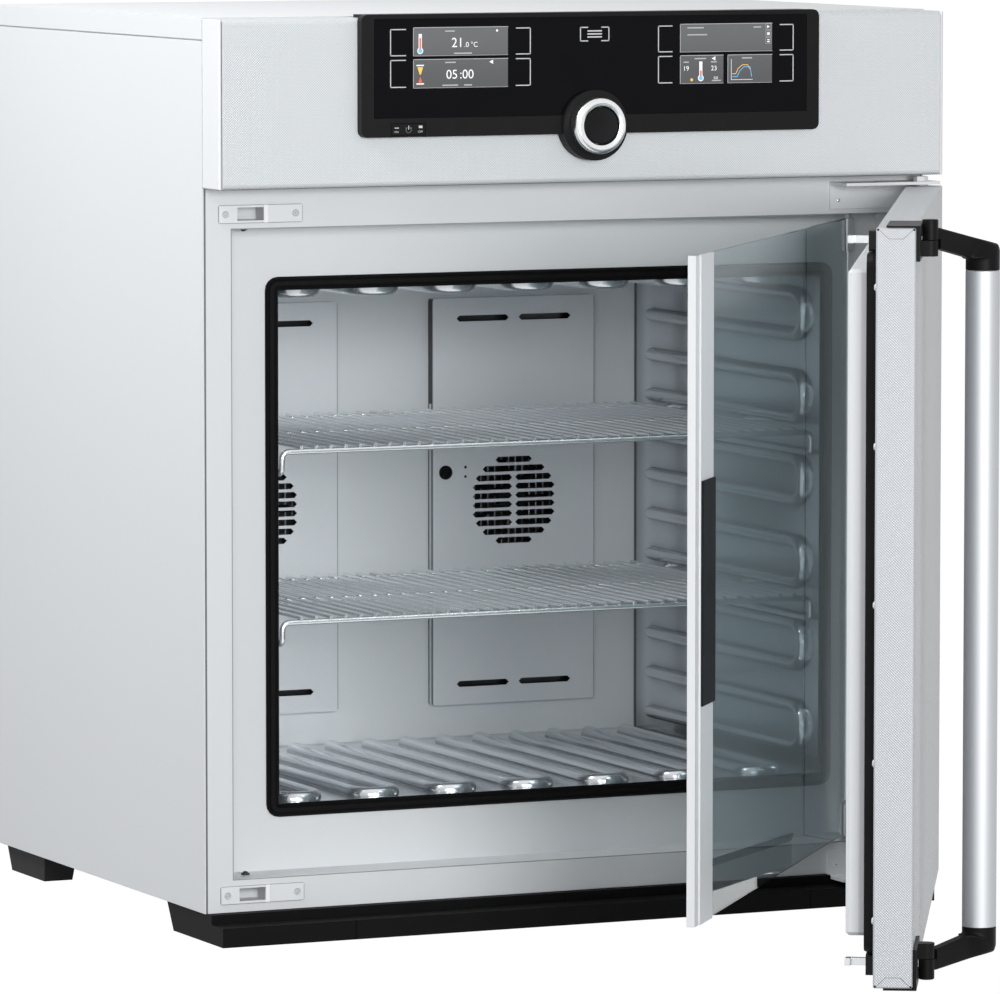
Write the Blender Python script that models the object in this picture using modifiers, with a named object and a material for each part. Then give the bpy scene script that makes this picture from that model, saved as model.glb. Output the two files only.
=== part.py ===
"""Refrigerated bench incubator, door ajar as it stands in the photograph.

Run with: blender --background --python part.py
World frame in metres: X to the right, Y to the back, Z up. The origin is the centre of the
front plinth's underside.
"""
import math

import bmesh
import bpy
from mathutils import Vector

# Clearances and sheet metal
GAP = 0.0003
WELD = 0.000001
SHEET = 0.0015

# Outer cabinet
BODY_WIDTH = 0.745
BODY_DEPTH = 0.538
BODY_TOP = 0.8545
FOOT_HEIGHT = 0.027
PANEL_FLANGE = 0.014
COVER_SKIRT = 0.020
COVER_SHADOW_GAP = 0.002

# Front plinth and rear feet
PLINTH_SETBACK = 0.0035
PLINTH_BASE_DEPTH = 0.1215
PLINTH_TOP_DEPTH = 0.1095
PLINTH_STEP_DEPTH = 0.028
PLINTH_STEP_HEIGHT = 0.018
PLINTH_INSET = 0.003
PLINTH_END = 0.1365
PLINTH_SEAM_X = BODY_WIDTH / 2 - PLINTH_END
PLINTH_SEAM = 0.001
REAR_FOOT_SIZE = (0.034, 0.103)
REAR_FOOT_TAPER = 0.86
REAR_FOOT_SIDE_INSET = 0.008
REAR_FOOT_BACK_INSET = 0.004

# Fascia and console
FASCIA_DEPTH = 0.0405
HEAD_HEIGHT = 0.1565
FASCIA_BOTTOM = BODY_TOP - HEAD_HEIGHT
FASCIA_SHEET = 0.0012
FASCIA_CAP = 0.003
FASCIA_LIP = 0.001
FASCIA_BEND = 0.004
CONSOLE_WIDTH = 0.470
CONSOLE_LIFT = 0.046
CONSOLE_BOTTOM = FASCIA_BOTTOM + CONSOLE_LIFT
CONSOLE_RISE = 0.0025
CONSOLE_TOP = BODY_TOP + CONSOLE_RISE
CONSOLE_RELIEF = 0.010
CONSOLE_HOOD_DEPTH = 0.023
CONSOLE_CORNER = 0.006
CONSOLE_GLASS_WIDTH = 0.444
CONSOLE_SILL = 0.0178
CONSOLE_GLASS_BOTTOM = CONSOLE_BOTTOM + CONSOLE_SILL
CONSOLE_BROW = 0.0045
CONSOLE_GLASS_TOP = CONSOLE_TOP - CONSOLE_BROW
CONSOLE_GLASS = 0.002
KNOB_LIFT = 0.008
KNOB_Z = CONSOLE_BOTTOM + KNOB_LIFT
KNOB_RADIUS = 0.0265
KNOB_DEPTH = 0.014
KNOB_CAP_RADIUS = 0.0172
KNOB_BOSS_RADIUS = 0.033
KNOB_BOSS_RELIEF = 0.005
KNOB_CAP_TRAVEL = 0.0015
KNOB_CAP_INSET = 0.001
KNOB_CAP_EDGE = 0.0012
KNOB_FLOOR = 0.0025
KNOB_FOOT = 0.002
KNOB_CROWN = (0.0027, 0.0040)
KNOB_EDGE = 0.0015
POWER_KEY_X = -0.188
POWER_KEY_LIFT = 0.0072
POWER_KEY_Z = CONSOLE_BOTTOM + POWER_KEY_LIFT
POWER_KEY_SIZE = (0.034, 0.0105)
POWER_KEY_DEPTH = 0.005
POWER_KEY_TRAVEL = 0.001
POWER_KEY_EDGE = 0.0004

# Door recess, chamber and insulation
FRAME_SIDE = 0.029
RECESS_WIDTH = BODY_WIDTH - 2 * FRAME_SIDE
RECESS_BOTTOM = 0.0575
FRAME_TOP_RAIL = 0.038
RECESS_TOP = FASCIA_BOTTOM - FRAME_TOP_RAIL
RECESS_DEPTH = 0.0435
CHAMBER_SIDE = 0.0925
CHAMBER_WIDTH = BODY_WIDTH - 2 * CHAMBER_SIDE
CHAMBER_DEPTH = 0.400
CHAMBER_FLOOR = 0.120
CHAMBER_HEAD = 0.060
CHAMBER_HEIGHT = RECESS_TOP - CHAMBER_HEAD - CHAMBER_FLOOR
INSULATION_CLEARANCE = 0.0005
INSULATION_TOP = FASCIA_BOTTOM - INSULATION_CLEARANCE
CHAMBER_GASKET_WIDTH = 0.0125
CHAMBER_GASKET_BASE = 0.0022
CHAMBER_GASKET_RIDGE = 0.0045
GASKET_RIDGE_SHARE = 0.14
GASKET_VALLEY_SHARE = 0.34

# Embossed shelf ribs
RIB_PITCH = 0.040
RIB_WIDTH = 0.0135
RIB_RISE = 0.009
SIDE_RIB_FRONT = 0.028
FLOOR_RIB_FRONT = 0.012
RIB_BACK_GAP = 0.033
RIB_END = CHAMBER_DEPTH - RIB_BACK_GAP
RIB_FLOOR_RISE = 0.040
RIB_SIDE_FIRST = CHAMBER_FLOOR + RIB_FLOOR_RISE
FLOOR_RIB_SHIFT = -0.012
WALL_RIB_COUNT = int((CHAMBER_HEIGHT + RIB_WIDTH / 2) / (2 * RIB_PITCH))
FLOOR_RIB_COUNT = int((CHAMBER_WIDTH + GAP) / (2 * RIB_PITCH))

# Cooling modules: chamber covers, fans and heat sinks
MODULE_SPACING = 0.2805
MODULE_DROP = 0.0035
MODULE_Z = CHAMBER_FLOOR + CHAMBER_HEIGHT / 2 - MODULE_DROP
FAN_COVER_WIDTH = 0.178
FAN_COVER_MARGIN = 0.073
FAN_COVER_HEIGHT = CHAMBER_HEIGHT - FAN_COVER_MARGIN
FAN_COVER_DEPTH = 0.0105
FAN_COVER_CORNER = 0.003
GRILLE_PITCH = 0.009
GRILLE_BRIDGE = 0.0035
SLOT_HEIGHT = 0.006
GRILLE_ROW_LENGTHS = (0.040, 0.068, 0.083, 0.090, 0.090)
GRILLE_SPLIT_FROM = 2
VENT_INSET = 0.0205
VENT_OFFSET = FAN_COVER_HEIGHT / 2 - VENT_INSET
VENT_LENGTH = 0.057
VENT_SPACING = 0.068
ROTOR_RADIUS = 0.041
ROTOR_DEPTH = 0.007
ROTOR_HUB_RADIUS = 0.015
ROTOR_SHAFT_RADIUS = 0.0015
ROTOR_BLADES = 7
MOTOR_RADIUS = 0.0125
BLADE_CHORD = 0.0095
BLADE_PITCH = math.radians(35)
BLADE_CLEARANCE = 0.001
MOTOR_BORE_DEPTH = 0.006
FAN_HOLE_RADIUS = 0.046
INNER_SINK_WIDTH = 0.092
INNER_SINK_HEIGHT = 0.104
INNER_SINK_DEPTH = 0.032
INNER_SINK_FINS = 13
MODULE_BLOCK = 0.040
FIN = 0.0014
SINK_BASE = 0.006
OUTER_SINK_WIDTH = 0.400
OUTER_SINK_HEIGHT = 0.118
OUTER_SINK_DEPTH = 0.056
OUTER_SINK_FINS = 25
REAR_HOUSING_WIDTH = 0.452
REAR_HOUSING_HEIGHT = 0.400
REAR_HOUSING_DEPTH = 0.088
REAR_HOUSING_CORNER = 0.008
REAR_FAN_RADIUS = 0.044
REAR_GRILLE_PITCH = 0.014
REAR_SLOT_HEIGHT = 0.008
REAR_ROW_LENGTHS = (0.052, 0.080, 0.092)
INLET_INSET = 0.0725
INLET_X = INLET_INSET - BODY_WIDTH / 2
INLET_Z = 0.075
INLET_SIZE = (0.050, 0.028)
INLET_DEPTH = 0.010
INLET_EDGE = 0.001
INLET_POCKET = (0.025, 0.017)
INLET_PIN = (0.004, 0.002)
INLET_PIN_PITCH = 0.007

# Wire shelves
SHELF_SIDE_GAP = 0.006
SHELF_WIDTH = CHAMBER_WIDTH - 2 * SHELF_SIDE_GAP
SHELF_DEPTH = 0.352
SHELF_FRONT = 0.0045
FRAME_WIRE = 0.005
GRID_WIRE = 0.0035
GRID_PITCH = 0.015
GRID_MARGIN = 0.0165
GRID_WELD = 0.0008
SHELF_DROP = 0.0204
SHELF_RAIL_LIFT = 0.0082
SHELF_RIBS = {"upper_shelf": 3, "lower_shelf": 1}

# Outer door
DOOR_GASKET_DEPTH = 0.009
DOOR_THICKNESS = 0.0345
DOOR_SIDE_INSET = 0.0065
DOOR_RIGHT = BODY_WIDTH / 2 - DOOR_SIDE_INSET
DOOR_BOTTOM = 0.0275
DOOR_HEAD_GAP = 0.0111
DOOR_TOP = FASCIA_BOTTOM - DOOR_HEAD_GAP
DOOR_EDGE = 0.0012
DOOR_SKIN = 0.0012
DOOR_PANEL_LAP = 0.012
DOOR_PANEL_SIDE = 0.0395
DOOR_PANEL_WIDTH = BODY_WIDTH - 2 * DOOR_PANEL_SIDE
DOOR_PANEL_EDGE = 0.003
DOOR_PANEL_BOTTOM = 0.0675
DOOR_PANEL_DROP = 0.0379
DOOR_PANEL_TOP = DOOR_TOP - DOOR_PANEL_DROP
DOOR_PANEL_DEPTH = 0.0255
DOOR_GASKET_MARGIN = 0.018
DOOR_GASKET_WIDTH = DOOR_PANEL_WIDTH + 2 * DOOR_GASKET_MARGIN
DOOR_GASKET_SHOULDER = 0.4
DOOR_GASKET_CROWN = 0.2
DOOR_GASKET_STRIP = 0.012
DOOR_GASKET_BOTTOM = 0.053
DOOR_GASKET_DROP = 0.0224
DOOR_GASKET_TOP = DOOR_TOP - DOOR_GASKET_DROP
DOOR_PIVOT_INSET = 0.008
DOOR_PIVOT_X = DOOR_RIGHT - DOOR_PIVOT_INSET
DOOR_PIVOT_SETBACK = 0.0203
DOOR_OPEN = math.radians(60.4)
HINGE_LEAF = 0.003
HINGE_WIDTH = 0.100
HINGE_MOUNT_HEIGHT = 0.0262
HINGE_ARM_REACH = 0.036
HINGE_PIN_RADIUS = 0.004
HINGE_PIN_LENGTH = 0.020
HINGE_COLLAR_RADIUS = 0.007
HINGE_COLLAR = 0.0013
HINGE_NUT_RADIUS = 0.007
HINGE_NUT = 0.0045

# Handle and latch
HANDLE_INSET = 0.0465
HANDLE_X = HANDLE_INSET - BODY_WIDTH / 2
HANDLE_STANDOFF = 0.0104
HANDLE_REACH = 0.067
HANDLE_ANGLE = math.radians(-33.65)
HANDLE_SWING = math.radians(15.5)
HUB_RADIUS = 0.007
HUB_HEIGHT = 0.018
HUB_TOP_RISE = 0.0051
HUB_TOP = DOOR_TOP + HUB_TOP_RISE
HUB_BOTTOM_RISE = 0.0018
HUB_BOTTOM = DOOR_BOTTOM + HUB_BOTTOM_RISE
LUG_HEIGHT = 0.0137
LUG_PIN_RADIUS = 0.003
LUG_PIN_LENGTH = 0.012
ARM_THICKNESS = 0.011
ARM_ROOT_HEIGHT = 0.0185
ARM_ROOT_INSET = 0.0075
ARM_ROOT_REACH = 0.0105
ARM_SLOPE = 0.0115
GRIP_RADIUS = 0.015
GRIP_SOCKET = 0.025
GRIP_SOCKET_EDGE = 0.004
GRIP_INSET = 0.0415
GRIP_LOW = DOOR_BOTTOM + GRIP_INSET
GRIP_HIGH = DOOR_TOP - GRIP_INSET
CORNER_PLATE = 0.003
CORNER_TOP_LEAF = 0.0014
CORNER_PLATE_WIDTH = 0.085
CORNER_PLATE_HEIGHT = {"upper": 0.029, "lower": 0.034}
CORNER_PLATE_RETURN = 0.026
CORNER_WINDOW_WIDTH = 0.012
HOOK_DROP = 0.0129
HOOK_RISE = 0.0155
HOOK_Z = {"upper": DOOR_TOP - HOOK_DROP, "lower": DOOR_BOTTOM + HOOK_RISE}
HOOK_SIZE = (0.005, 0.0065)
HOOK_LENGTH = 0.0712
HOOK_CLAW = 0.0045
HOOK_SLOT = (0.026, 0.012)
HOOK_TUNNEL = (0.020, 0.010)
HOOK_HOUSING = (0.034, 0.0176)
HOOK_HOUSING_DEPTH = 0.0075
HOOK_HOUSING_CORNER = 0.002
STRIKE_INSET = 0.0475
STRIKE_X = STRIKE_INSET - BODY_WIDTH / 2
STRIKE_SIZE = (0.084, 0.017)
STRIKE_X_SHIFT = 0.010
STRIKE_SHEET = 0.001
STRIKE_CORNER = 0.002

# Inner glass door
GLASS_PIVOT_INSET = 0.0385
GLASS_PIVOT_X = RECESS_WIDTH / 2 - GLASS_PIVOT_INSET
GLASS_PIVOT_SETBACK = 0.0665
GLASS_THICKNESS = 0.005
GLASS_SIDE_GAP = 0.0085
GLASS_LEFT = GLASS_SIDE_GAP - RECESS_WIDTH / 2
GLASS_HINGE_GAP = 0.0065
GLASS_RIGHT = GLASS_PIVOT_X - GLASS_HINGE_GAP
GLASS_BOTTOM_GAP = 0.004
GLASS_BOTTOM = RECESS_BOTTOM + GLASS_BOTTOM_GAP
GLASS_TOP_GAP = 0.005
GLASS_TOP = RECESS_TOP - GLASS_TOP_GAP
GLASS_OPEN = math.radians(50.6)
GLASS_EDGE = 0.0006
STRIP_WIDTH = 0.062
STRIP_GROOVE = 0.014
STRIP_WALL = 0.0012
STRIP_PAD = 0.0022
STRIP_BACK = 0.010
PULL_BOTTOM = 0.256
PULL_HEIGHT = 0.200
PULL_DEPTH = 0.002
GLASS_CLIP_WIDTH = 0.024
GLASS_CLIP_HEIGHT = 0.031
GLASS_CLIP_WALL = 0.0022
GLASS_PIN_RADIUS = 0.0025
GLASS_CLIP_COVER = 0.0045
CATCH_INSET = 0.0225
CATCH_X = CATCH_INSET - RECESS_WIDTH / 2
CATCH_RADIUS = 0.004
CATCH_HEIGHT = 0.0034
CATCH_SEAT = (0.7, 0.45)
CATCH_BALL = (0.5, 0.85)

# Planes worked out from the sizes above
HALF = BODY_WIDTH / 2
FACE_Y = -(PLINTH_SETBACK + PLINTH_BASE_DEPTH / 2)
FRAME_Y = FACE_Y + FASCIA_DEPTH
RECESS_Y = FRAME_Y + RECESS_DEPTH
CHAMBER_BACK_Y = RECESS_Y + CHAMBER_DEPTH
REAR_Y = FRAME_Y + BODY_DEPTH
CHAMBER_TOP = CHAMBER_FLOOR + CHAMBER_HEIGHT
CHAMBER_HALF = CHAMBER_WIDTH / 2
RECESS_HALF = RECESS_WIDTH / 2
FASCIA_TOP = BODY_TOP - FASCIA_LIP
DOOR_BACK_Y = FRAME_Y - GAP - DOOR_GASKET_DEPTH
DOOR_FACE_Y = DOOR_BACK_Y - DOOR_THICKNESS
GLASS_Y = FACE_Y + GLASS_PIVOT_SETBACK
CONSOLE_Y = FACE_Y - CONSOLE_RELIEF
KNOB_Y = CONSOLE_Y - KNOB_BOSS_RELIEF - GAP
HANDLE_Y = DOOR_FACE_Y - HANDLE_STANDOFF
DOOR_PIVOT_Y = DOOR_FACE_Y + DOOR_PIVOT_SETBACK

for old in list(bpy.data.objects):
    bpy.data.objects.remove(old)

PARTS = bpy.data.collections.new("refrigerated_incubator")
TOOLS = bpy.data.collections.new("cutters")
for group in (PARTS, TOOLS):
    bpy.context.scene.collection.children.link(group)

# Colour, roughness and metallic value of each finish
FINISHES = {
    "white_paint": ((0.78, 0.81, 0.84), 0.42, 0.0),
    "door_white": ((0.86, 0.88, 0.90), 0.45, 0.0),
    "linen_steel": ((0.66, 0.69, 0.72), 0.38, 0.75),
    "chamber_steel": ((0.60, 0.63, 0.66), 0.34, 0.85),
    "bright_steel": ((0.78, 0.79, 0.80), 0.22, 0.95),
    "aluminium": ((0.62, 0.63, 0.64), 0.45, 0.85),
    "zinc": ((0.66, 0.68, 0.70), 0.40, 0.80),
    "chrome": ((0.86, 0.87, 0.88), 0.10, 1.0),
    "black_plastic": ((0.022, 0.023, 0.025), 0.50, 0.0),
    "display_glass": ((0.008, 0.009, 0.010), 0.06, 0.0),
    "black_rubber": ((0.018, 0.018, 0.019), 0.72, 0.0),
    "glass": ((0.56, 0.66, 0.67), 0.05, 0.0),
    "clip_white": ((0.84, 0.85, 0.86), 0.40, 0.0),
    "foam": ((0.80, 0.76, 0.60), 0.85, 0.0),
    "grip_satin": ((0.72, 0.74, 0.76), 0.36, 0.60),
}


def paint(obj, finish):
    """Give the object a material of its own in one of the finishes."""
    colour, roughness, metallic = FINISHES[finish]
    material = bpy.data.materials.new(obj.name)
    material.use_nodes = True
    shader = material.node_tree.nodes["Principled BSDF"]
    shader.inputs["Base Color"].default_value = (*colour, 1.0)
    shader.inputs["Roughness"].default_value = roughness
    shader.inputs["Metallic"].default_value = metallic
    obj.data.materials.append(material)


def register(name, data, finish):
    """Put new data in the scene: a part if it has a finish, a tool for booleans if not."""
    obj = bpy.data.objects.new(name, data)
    data.name = name
    (PARTS if finish else TOOLS).objects.link(obj)
    if finish:
        paint(obj, finish)
    else:
        obj.hide_render = True
        obj.display_type = "WIRE"
    return obj


def block(name, finish, low, high, edge=0.0):
    """A box between two corners, with its edges rounded when edge is given."""
    low, high = Vector(low), Vector(high)
    mesh = bpy.data.meshes.new(name)
    bm = bmesh.new()
    bmesh.ops.create_cube(bm, size=1.0)
    bmesh.ops.scale(bm, vec=high - low, verts=bm.verts)
    bm.to_mesh(mesh)
    bm.free()
    obj = register(name, mesh, finish)
    obj.location = (low + high) / 2
    if edge:
        rounding = obj.modifiers.new("edge", "BEVEL")
        rounding.width = edge
        rounding.segments = 1
    return obj


AXIS_TURN = {"X": (0, math.pi / 2, 0), "Y": (math.pi / 2, 0, 0), "Z": (0, 0, 0)}


def cylinder(name, finish, centre, axis, radius, length, sides=24):
    """A cylinder about one of the world's axes."""
    mesh = bpy.data.meshes.new(name)
    bm = bmesh.new()
    bmesh.ops.create_cone(
        bm, cap_ends=True, segments=sides, radius1=radius, radius2=radius, depth=length
    )
    bm.to_mesh(mesh)
    bm.free()
    obj = register(name, mesh, finish)
    obj.location = centre
    obj.rotation_euler = AXIS_TURN[axis]
    return obj


def as_mesh(curve_object, name, finish):
    """The curve's evaluated shape as a welded mesh object in the same place."""
    bpy.context.view_layer.update()
    seen = curve_object.evaluated_get(bpy.context.evaluated_depsgraph_get())
    mesh = bpy.data.meshes.new_from_object(seen)
    bm = bmesh.new()
    bm.from_mesh(mesh)
    bmesh.ops.remove_doubles(bm, verts=bm.verts, dist=WELD)
    bmesh.ops.recalc_face_normals(bm, faces=bm.faces)
    bmesh.ops.beautify_fill(bm, faces=bm.faces, edges=bm.edges, method="ANGLE")
    bm.to_mesh(mesh)
    bm.free()
    mesh.materials.clear()
    obj = register(name, mesh, finish)
    obj.location = curve_object.location
    obj.rotation_euler = curve_object.rotation_euler
    curve = curve_object.data
    bpy.data.objects.remove(curve_object)
    bpy.data.curves.remove(curve)
    return obj


def poly_curve(name, paths, closed, flat=True):
    """A curve object of straight-sided splines; a path's points have two or three values."""
    curve = bpy.data.curves.new(name, "CURVE")
    curve.dimensions = "2D" if flat else "3D"
    for path in paths:
        spline = curve.splines.new("POLY")
        spline.points.add(len(path) - 1)
        for point, place in zip(spline.points, path):
            point.co = (*place, *[0.0] * (3 - len(place)), 1.0)
        spline.use_cyclic_u = closed
    obj = bpy.data.objects.new(name + "_path", curve)
    TOOLS.objects.link(obj)
    return obj


PLANE_TURN = {
    "XY": (0, 0, 0),
    "XZ": (math.pi / 2, 0, 0),
    "YZ": (math.pi / 2, 0, math.pi / 2),
}
PLANE_NORMAL = {"XY": (0, 0, 1), "XZ": (0, 1, 0), "YZ": (1, 0, 0)}


def sheet(name, finish, outlines, plane, start, thickness):
    """Flat outlines, the inner ones holes, with a thickness from start along the normal."""
    obj = poly_curve(name, outlines, closed=True)
    obj.data.fill_mode = "BOTH"
    obj.data.extrude = thickness / 2
    obj.rotation_euler = PLANE_TURN[plane]
    obj.location = Vector(PLANE_NORMAL[plane]) * (start + thickness / 2)
    return as_mesh(obj, name, finish)


def folded(name, finish, path, plane, start, width, thickness):
    """A bent sheet: an open ribbon along the path, given its thickness by Solidify."""
    obj = poly_curve(name, [path], closed=False)
    obj.data.extrude = width / 2
    obj.rotation_euler = PLANE_TURN[plane]
    obj.location = Vector(PLANE_NORMAL[plane]) * (start + width / 2)
    ribbon = as_mesh(obj, name, finish)
    wall = ribbon.modifiers.new("sheet", "SOLIDIFY")
    wall.thickness = thickness
    wall.offset = 0.0
    wall.use_even_offset = True
    return ribbon


def swept(name, finish, paths, profile, plane, start, closed=False):
    """A closed profile swept along flat paths; its second value points along the normal."""
    section = poly_curve(name + "_profile", [profile], closed=True)
    obj = poly_curve(name, paths, closed)
    obj.data.bevel_mode = "OBJECT"
    obj.data.bevel_object = section
    obj.data.use_fill_caps = True
    obj.rotation_euler = PLANE_TURN[plane]
    obj.location = Vector(PLANE_NORMAL[plane]) * start
    solid = as_mesh(obj, name, finish)
    outline = section.data
    bpy.data.objects.remove(section)
    bpy.data.curves.remove(outline)
    return solid


def wires(name, finish, paths, diameter, resolution=1):
    """Round wires along paths in space, with closed ends."""
    obj = poly_curve(name, paths, closed=False, flat=False)
    obj.data.bevel_depth = diameter / 2
    obj.data.bevel_resolution = resolution
    obj.data.use_fill_caps = True
    return as_mesh(obj, name, finish)


def turned(name, finish, profile, centre, axis, steps=32):
    """A closed radius and height profile turned about its axis with a Screw modifier."""
    mesh = bpy.data.meshes.new(name)
    bm = bmesh.new()
    ring = [bm.verts.new((radius, 0.0, height)) for radius, height in profile]
    for first, second in zip(ring, ring[1:]):
        bm.edges.new((first, second))
    bm.to_mesh(mesh)
    bm.free()
    obj = register(name, mesh, finish)
    obj.location = centre
    obj.rotation_euler = AXIS_TURN[axis]
    screw = obj.modifiers.new("turn", "SCREW")
    screw.steps = steps
    screw.render_steps = steps
    screw.use_merge_vertices = True
    screw.merge_threshold = 0.00001
    return obj


def combine(target, tool, operation):
    """Cut or join the target with a tool that then moves with it."""
    change = target.modifiers.new(tool.name, "BOOLEAN")
    change.operation = operation
    change.object = tool
    change.solver = "EXACT"
    tool.parent = target
    tool.matrix_parent_inverse = target.matrix_basis.inverted()
    return target


def cut(target, tool):
    return combine(target, tool, "DIFFERENCE")


def join(target, tool):
    return combine(target, tool, "UNION")


def arc(centre, radius, start, end, steps):
    """Points on an arc, angles in degrees, both ends included."""
    points = []
    for step in range(steps + 1):
        angle = math.radians(start + (end - start) * step / steps)
        across = centre[0] + radius * math.cos(angle)
        points.append((across, centre[1] + radius * math.sin(angle)))
    return points


def rectangle(left, right, bottom, top, radius=0.0, steps=3):
    """A rectangle's outline, its corners rounded when a radius is given."""
    if not radius:
        return [(left, bottom), (right, bottom), (right, top), (left, top)]
    corners = [
        (right - radius, bottom + radius, -90),
        (right - radius, top - radius, 0),
        (left + radius, top - radius, 90),
        (left + radius, bottom + radius, 180),
    ]
    points = []
    for across, up, start in corners:
        points += arc((across, up), radius, start, start + 90, steps)
    return points


def slot(centre_x, centre_z, length, height=SLOT_HEIGHT):
    """A slot with round ends, lying level."""
    half, radius = length / 2, height / 2
    right = arc((centre_x + half - radius, centre_z), radius, -90, 90, 2)
    return right + arc((centre_x - half + radius, centre_z), radius, 90, 270, 2)


def circle(centre, radius, steps=24):
    return arc(centre, radius, 0, 360 - 360 / steps, steps - 1)


# Outer cabinet: folded side panels under a cover, a tray below and a panel behind


def make_casing():
    skin = HALF - SHEET / 2
    lip = skin - SHEET - GAP
    joggle = BODY_TOP - COVER_SKIRT - COVER_SHADOW_GAP
    for name, side in (("left_side_panel", -1), ("right_side_panel", 1)):
        path = [
            (side * (skin - PANEL_FLANGE), FOOT_HEIGHT + SHEET / 2),
            (side * skin, FOOT_HEIGHT + SHEET / 2),
            (side * skin, joggle),
            (side * lip, joggle),
            (side * lip, BODY_TOP - SHEET - GAP),
        ]
        panel = folded(name, "white_paint", path, "XZ", FRAME_Y, BODY_DEPTH, SHEET)
        corner = sorted((side * (HALF - SHEET), side * (HALF - 2 * PANEL_FLANGE)))
        relief = block("flange_relief", None, (corner[0], FRAME_Y - SHEET, 0.0),
                       (corner[1], FRAME_Y + SHEET + GAP, FOOT_HEIGHT + 2 * SHEET))
        cut(panel, relief)
    cover_z = BODY_TOP - SHEET / 2
    skirt = BODY_TOP - COVER_SKIRT
    cover = [(-skin, skirt), (-skin, cover_z), (skin, cover_z), (skin, skirt)]
    folded("top_cover", "white_paint", cover, "XZ", FRAME_Y, BODY_DEPTH, SHEET)
    inside = HALF - SHEET - GAP
    floor = FOOT_HEIGHT + SHEET + GAP
    block(
        "base_pan",
        "zinc",
        (-inside, FRAME_Y + SHEET + 2 * GAP, floor),
        (inside, REAR_Y - SHEET - GAP, floor + SHEET),
    )
    holes = [
        rectangle(x - MODULE_BLOCK / 2 - GAP, x + MODULE_BLOCK / 2 + GAP,
                  MODULE_Z - MODULE_BLOCK / 2 - GAP, MODULE_Z + MODULE_BLOCK / 2 + GAP)
        for x in (-MODULE_SPACING / 2, MODULE_SPACING / 2)
    ]
    shoulder = joggle - 2 * SHEET
    neck = lip - SHEET / 2 - GAP
    head = BODY_TOP - SHEET - GAP
    outline = [
        (-inside, floor), (inside, floor), (inside, shoulder), (neck, shoulder),
        (neck, head), (-neck, head), (-neck, shoulder), (-inside, shoulder),
    ]
    sheet("rear_panel", "white_paint", [outline, *holes], "XZ", REAR_Y - SHEET, SHEET)


def make_feet():
    half = HALF - PLINTH_INSET
    front = FACE_Y + PLINTH_SETBACK
    step = front + PLINTH_STEP_DEPTH
    top = FOOT_HEIGHT - GAP
    outline = [
        (front, 0.0),
        (front + PLINTH_BASE_DEPTH, 0.0),
        (step + PLINTH_TOP_DEPTH, top),
        (step, top),
        (step, PLINTH_STEP_HEIGHT),
        (front, PLINTH_STEP_HEIGHT),
    ]
    plinth = sheet("front_plinth", "black_plastic", [outline], "YZ", -half, 2 * half)
    for side in (-1, 1):
        middle = side * PLINTH_SEAM_X
        seam = block(
            "plinth_seam",
            None,
            (middle - PLINTH_SEAM / 2, front - GAP, PLINTH_SEAM),
            (middle + PLINTH_SEAM / 2, front + PLINTH_SEAM, FOOT_HEIGHT),
        )
        cut(plinth, seam)
    width, depth = REAR_FOOT_SIZE
    back = REAR_Y - REAR_FOOT_BACK_INSET
    for name, side in (("rear_left_foot", -1), ("rear_right_foot", 1)):
        outer = side * (HALF - REAR_FOOT_SIDE_INSET)
        low = (min(outer, outer - side * width), back - depth, 0.0)
        high = (max(outer, outer - side * width), back, FOOT_HEIGHT - GAP)
        foot = block(name, "black_rubber", low, high)
        for vertex in foot.data.vertices:
            if vertex.co.z < 0:
                vertex.co.x *= REAR_FOOT_TAPER
                vertex.co.y *= REAR_FOOT_TAPER


def make_front_frame():
    """A stepped sheet: front ring, sleeve round the recess and ring round the chamber."""
    half = HALF - SHEET - GAP
    top = FASCIA_BOTTOM - GAP
    back = RECESS_Y + SHEET
    frame = block("front_frame", "white_paint", (-half, FRAME_Y, FOOT_HEIGHT), (half, back, top))
    sleeve = rectangle(-RECESS_HALF - SHEET, RECESS_HALF + SHEET,
                       RECESS_BOTTOM - SHEET, RECESS_TOP + SHEET)
    clear = rectangle(-HALF, HALF, 0.0, top + SHEET)
    around = sheet("frame_surround", None, [clear, sleeve], "XZ", FRAME_Y + SHEET, RECESS_DEPTH + SHEET)
    recess = block("frame_recess", None, (-RECESS_HALF, FRAME_Y - SHEET, RECESS_BOTTOM),
                   (RECESS_HALF, RECESS_Y, RECESS_TOP))
    reach = CHAMBER_HALF + SHEET + GAP
    opening = block("frame_opening", None, (-reach, FRAME_Y, CHAMBER_FLOOR - SHEET - GAP),
                    (reach, back + SHEET, CHAMBER_TOP + SHEET + GAP))
    for tool in (around, recess, opening):
        cut(frame, tool)
    width, height = HOOK_SLOT
    for z in HOOK_Z.values():
        mouth = block("hook_slot", None,
                      (STRIKE_X - width / 2, FRAME_Y - SHEET, z - height / 2),
                      (STRIKE_X + width / 2, FRAME_Y + 2 * SHEET, z + height / 2))
        cut(frame, mouth)


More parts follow.
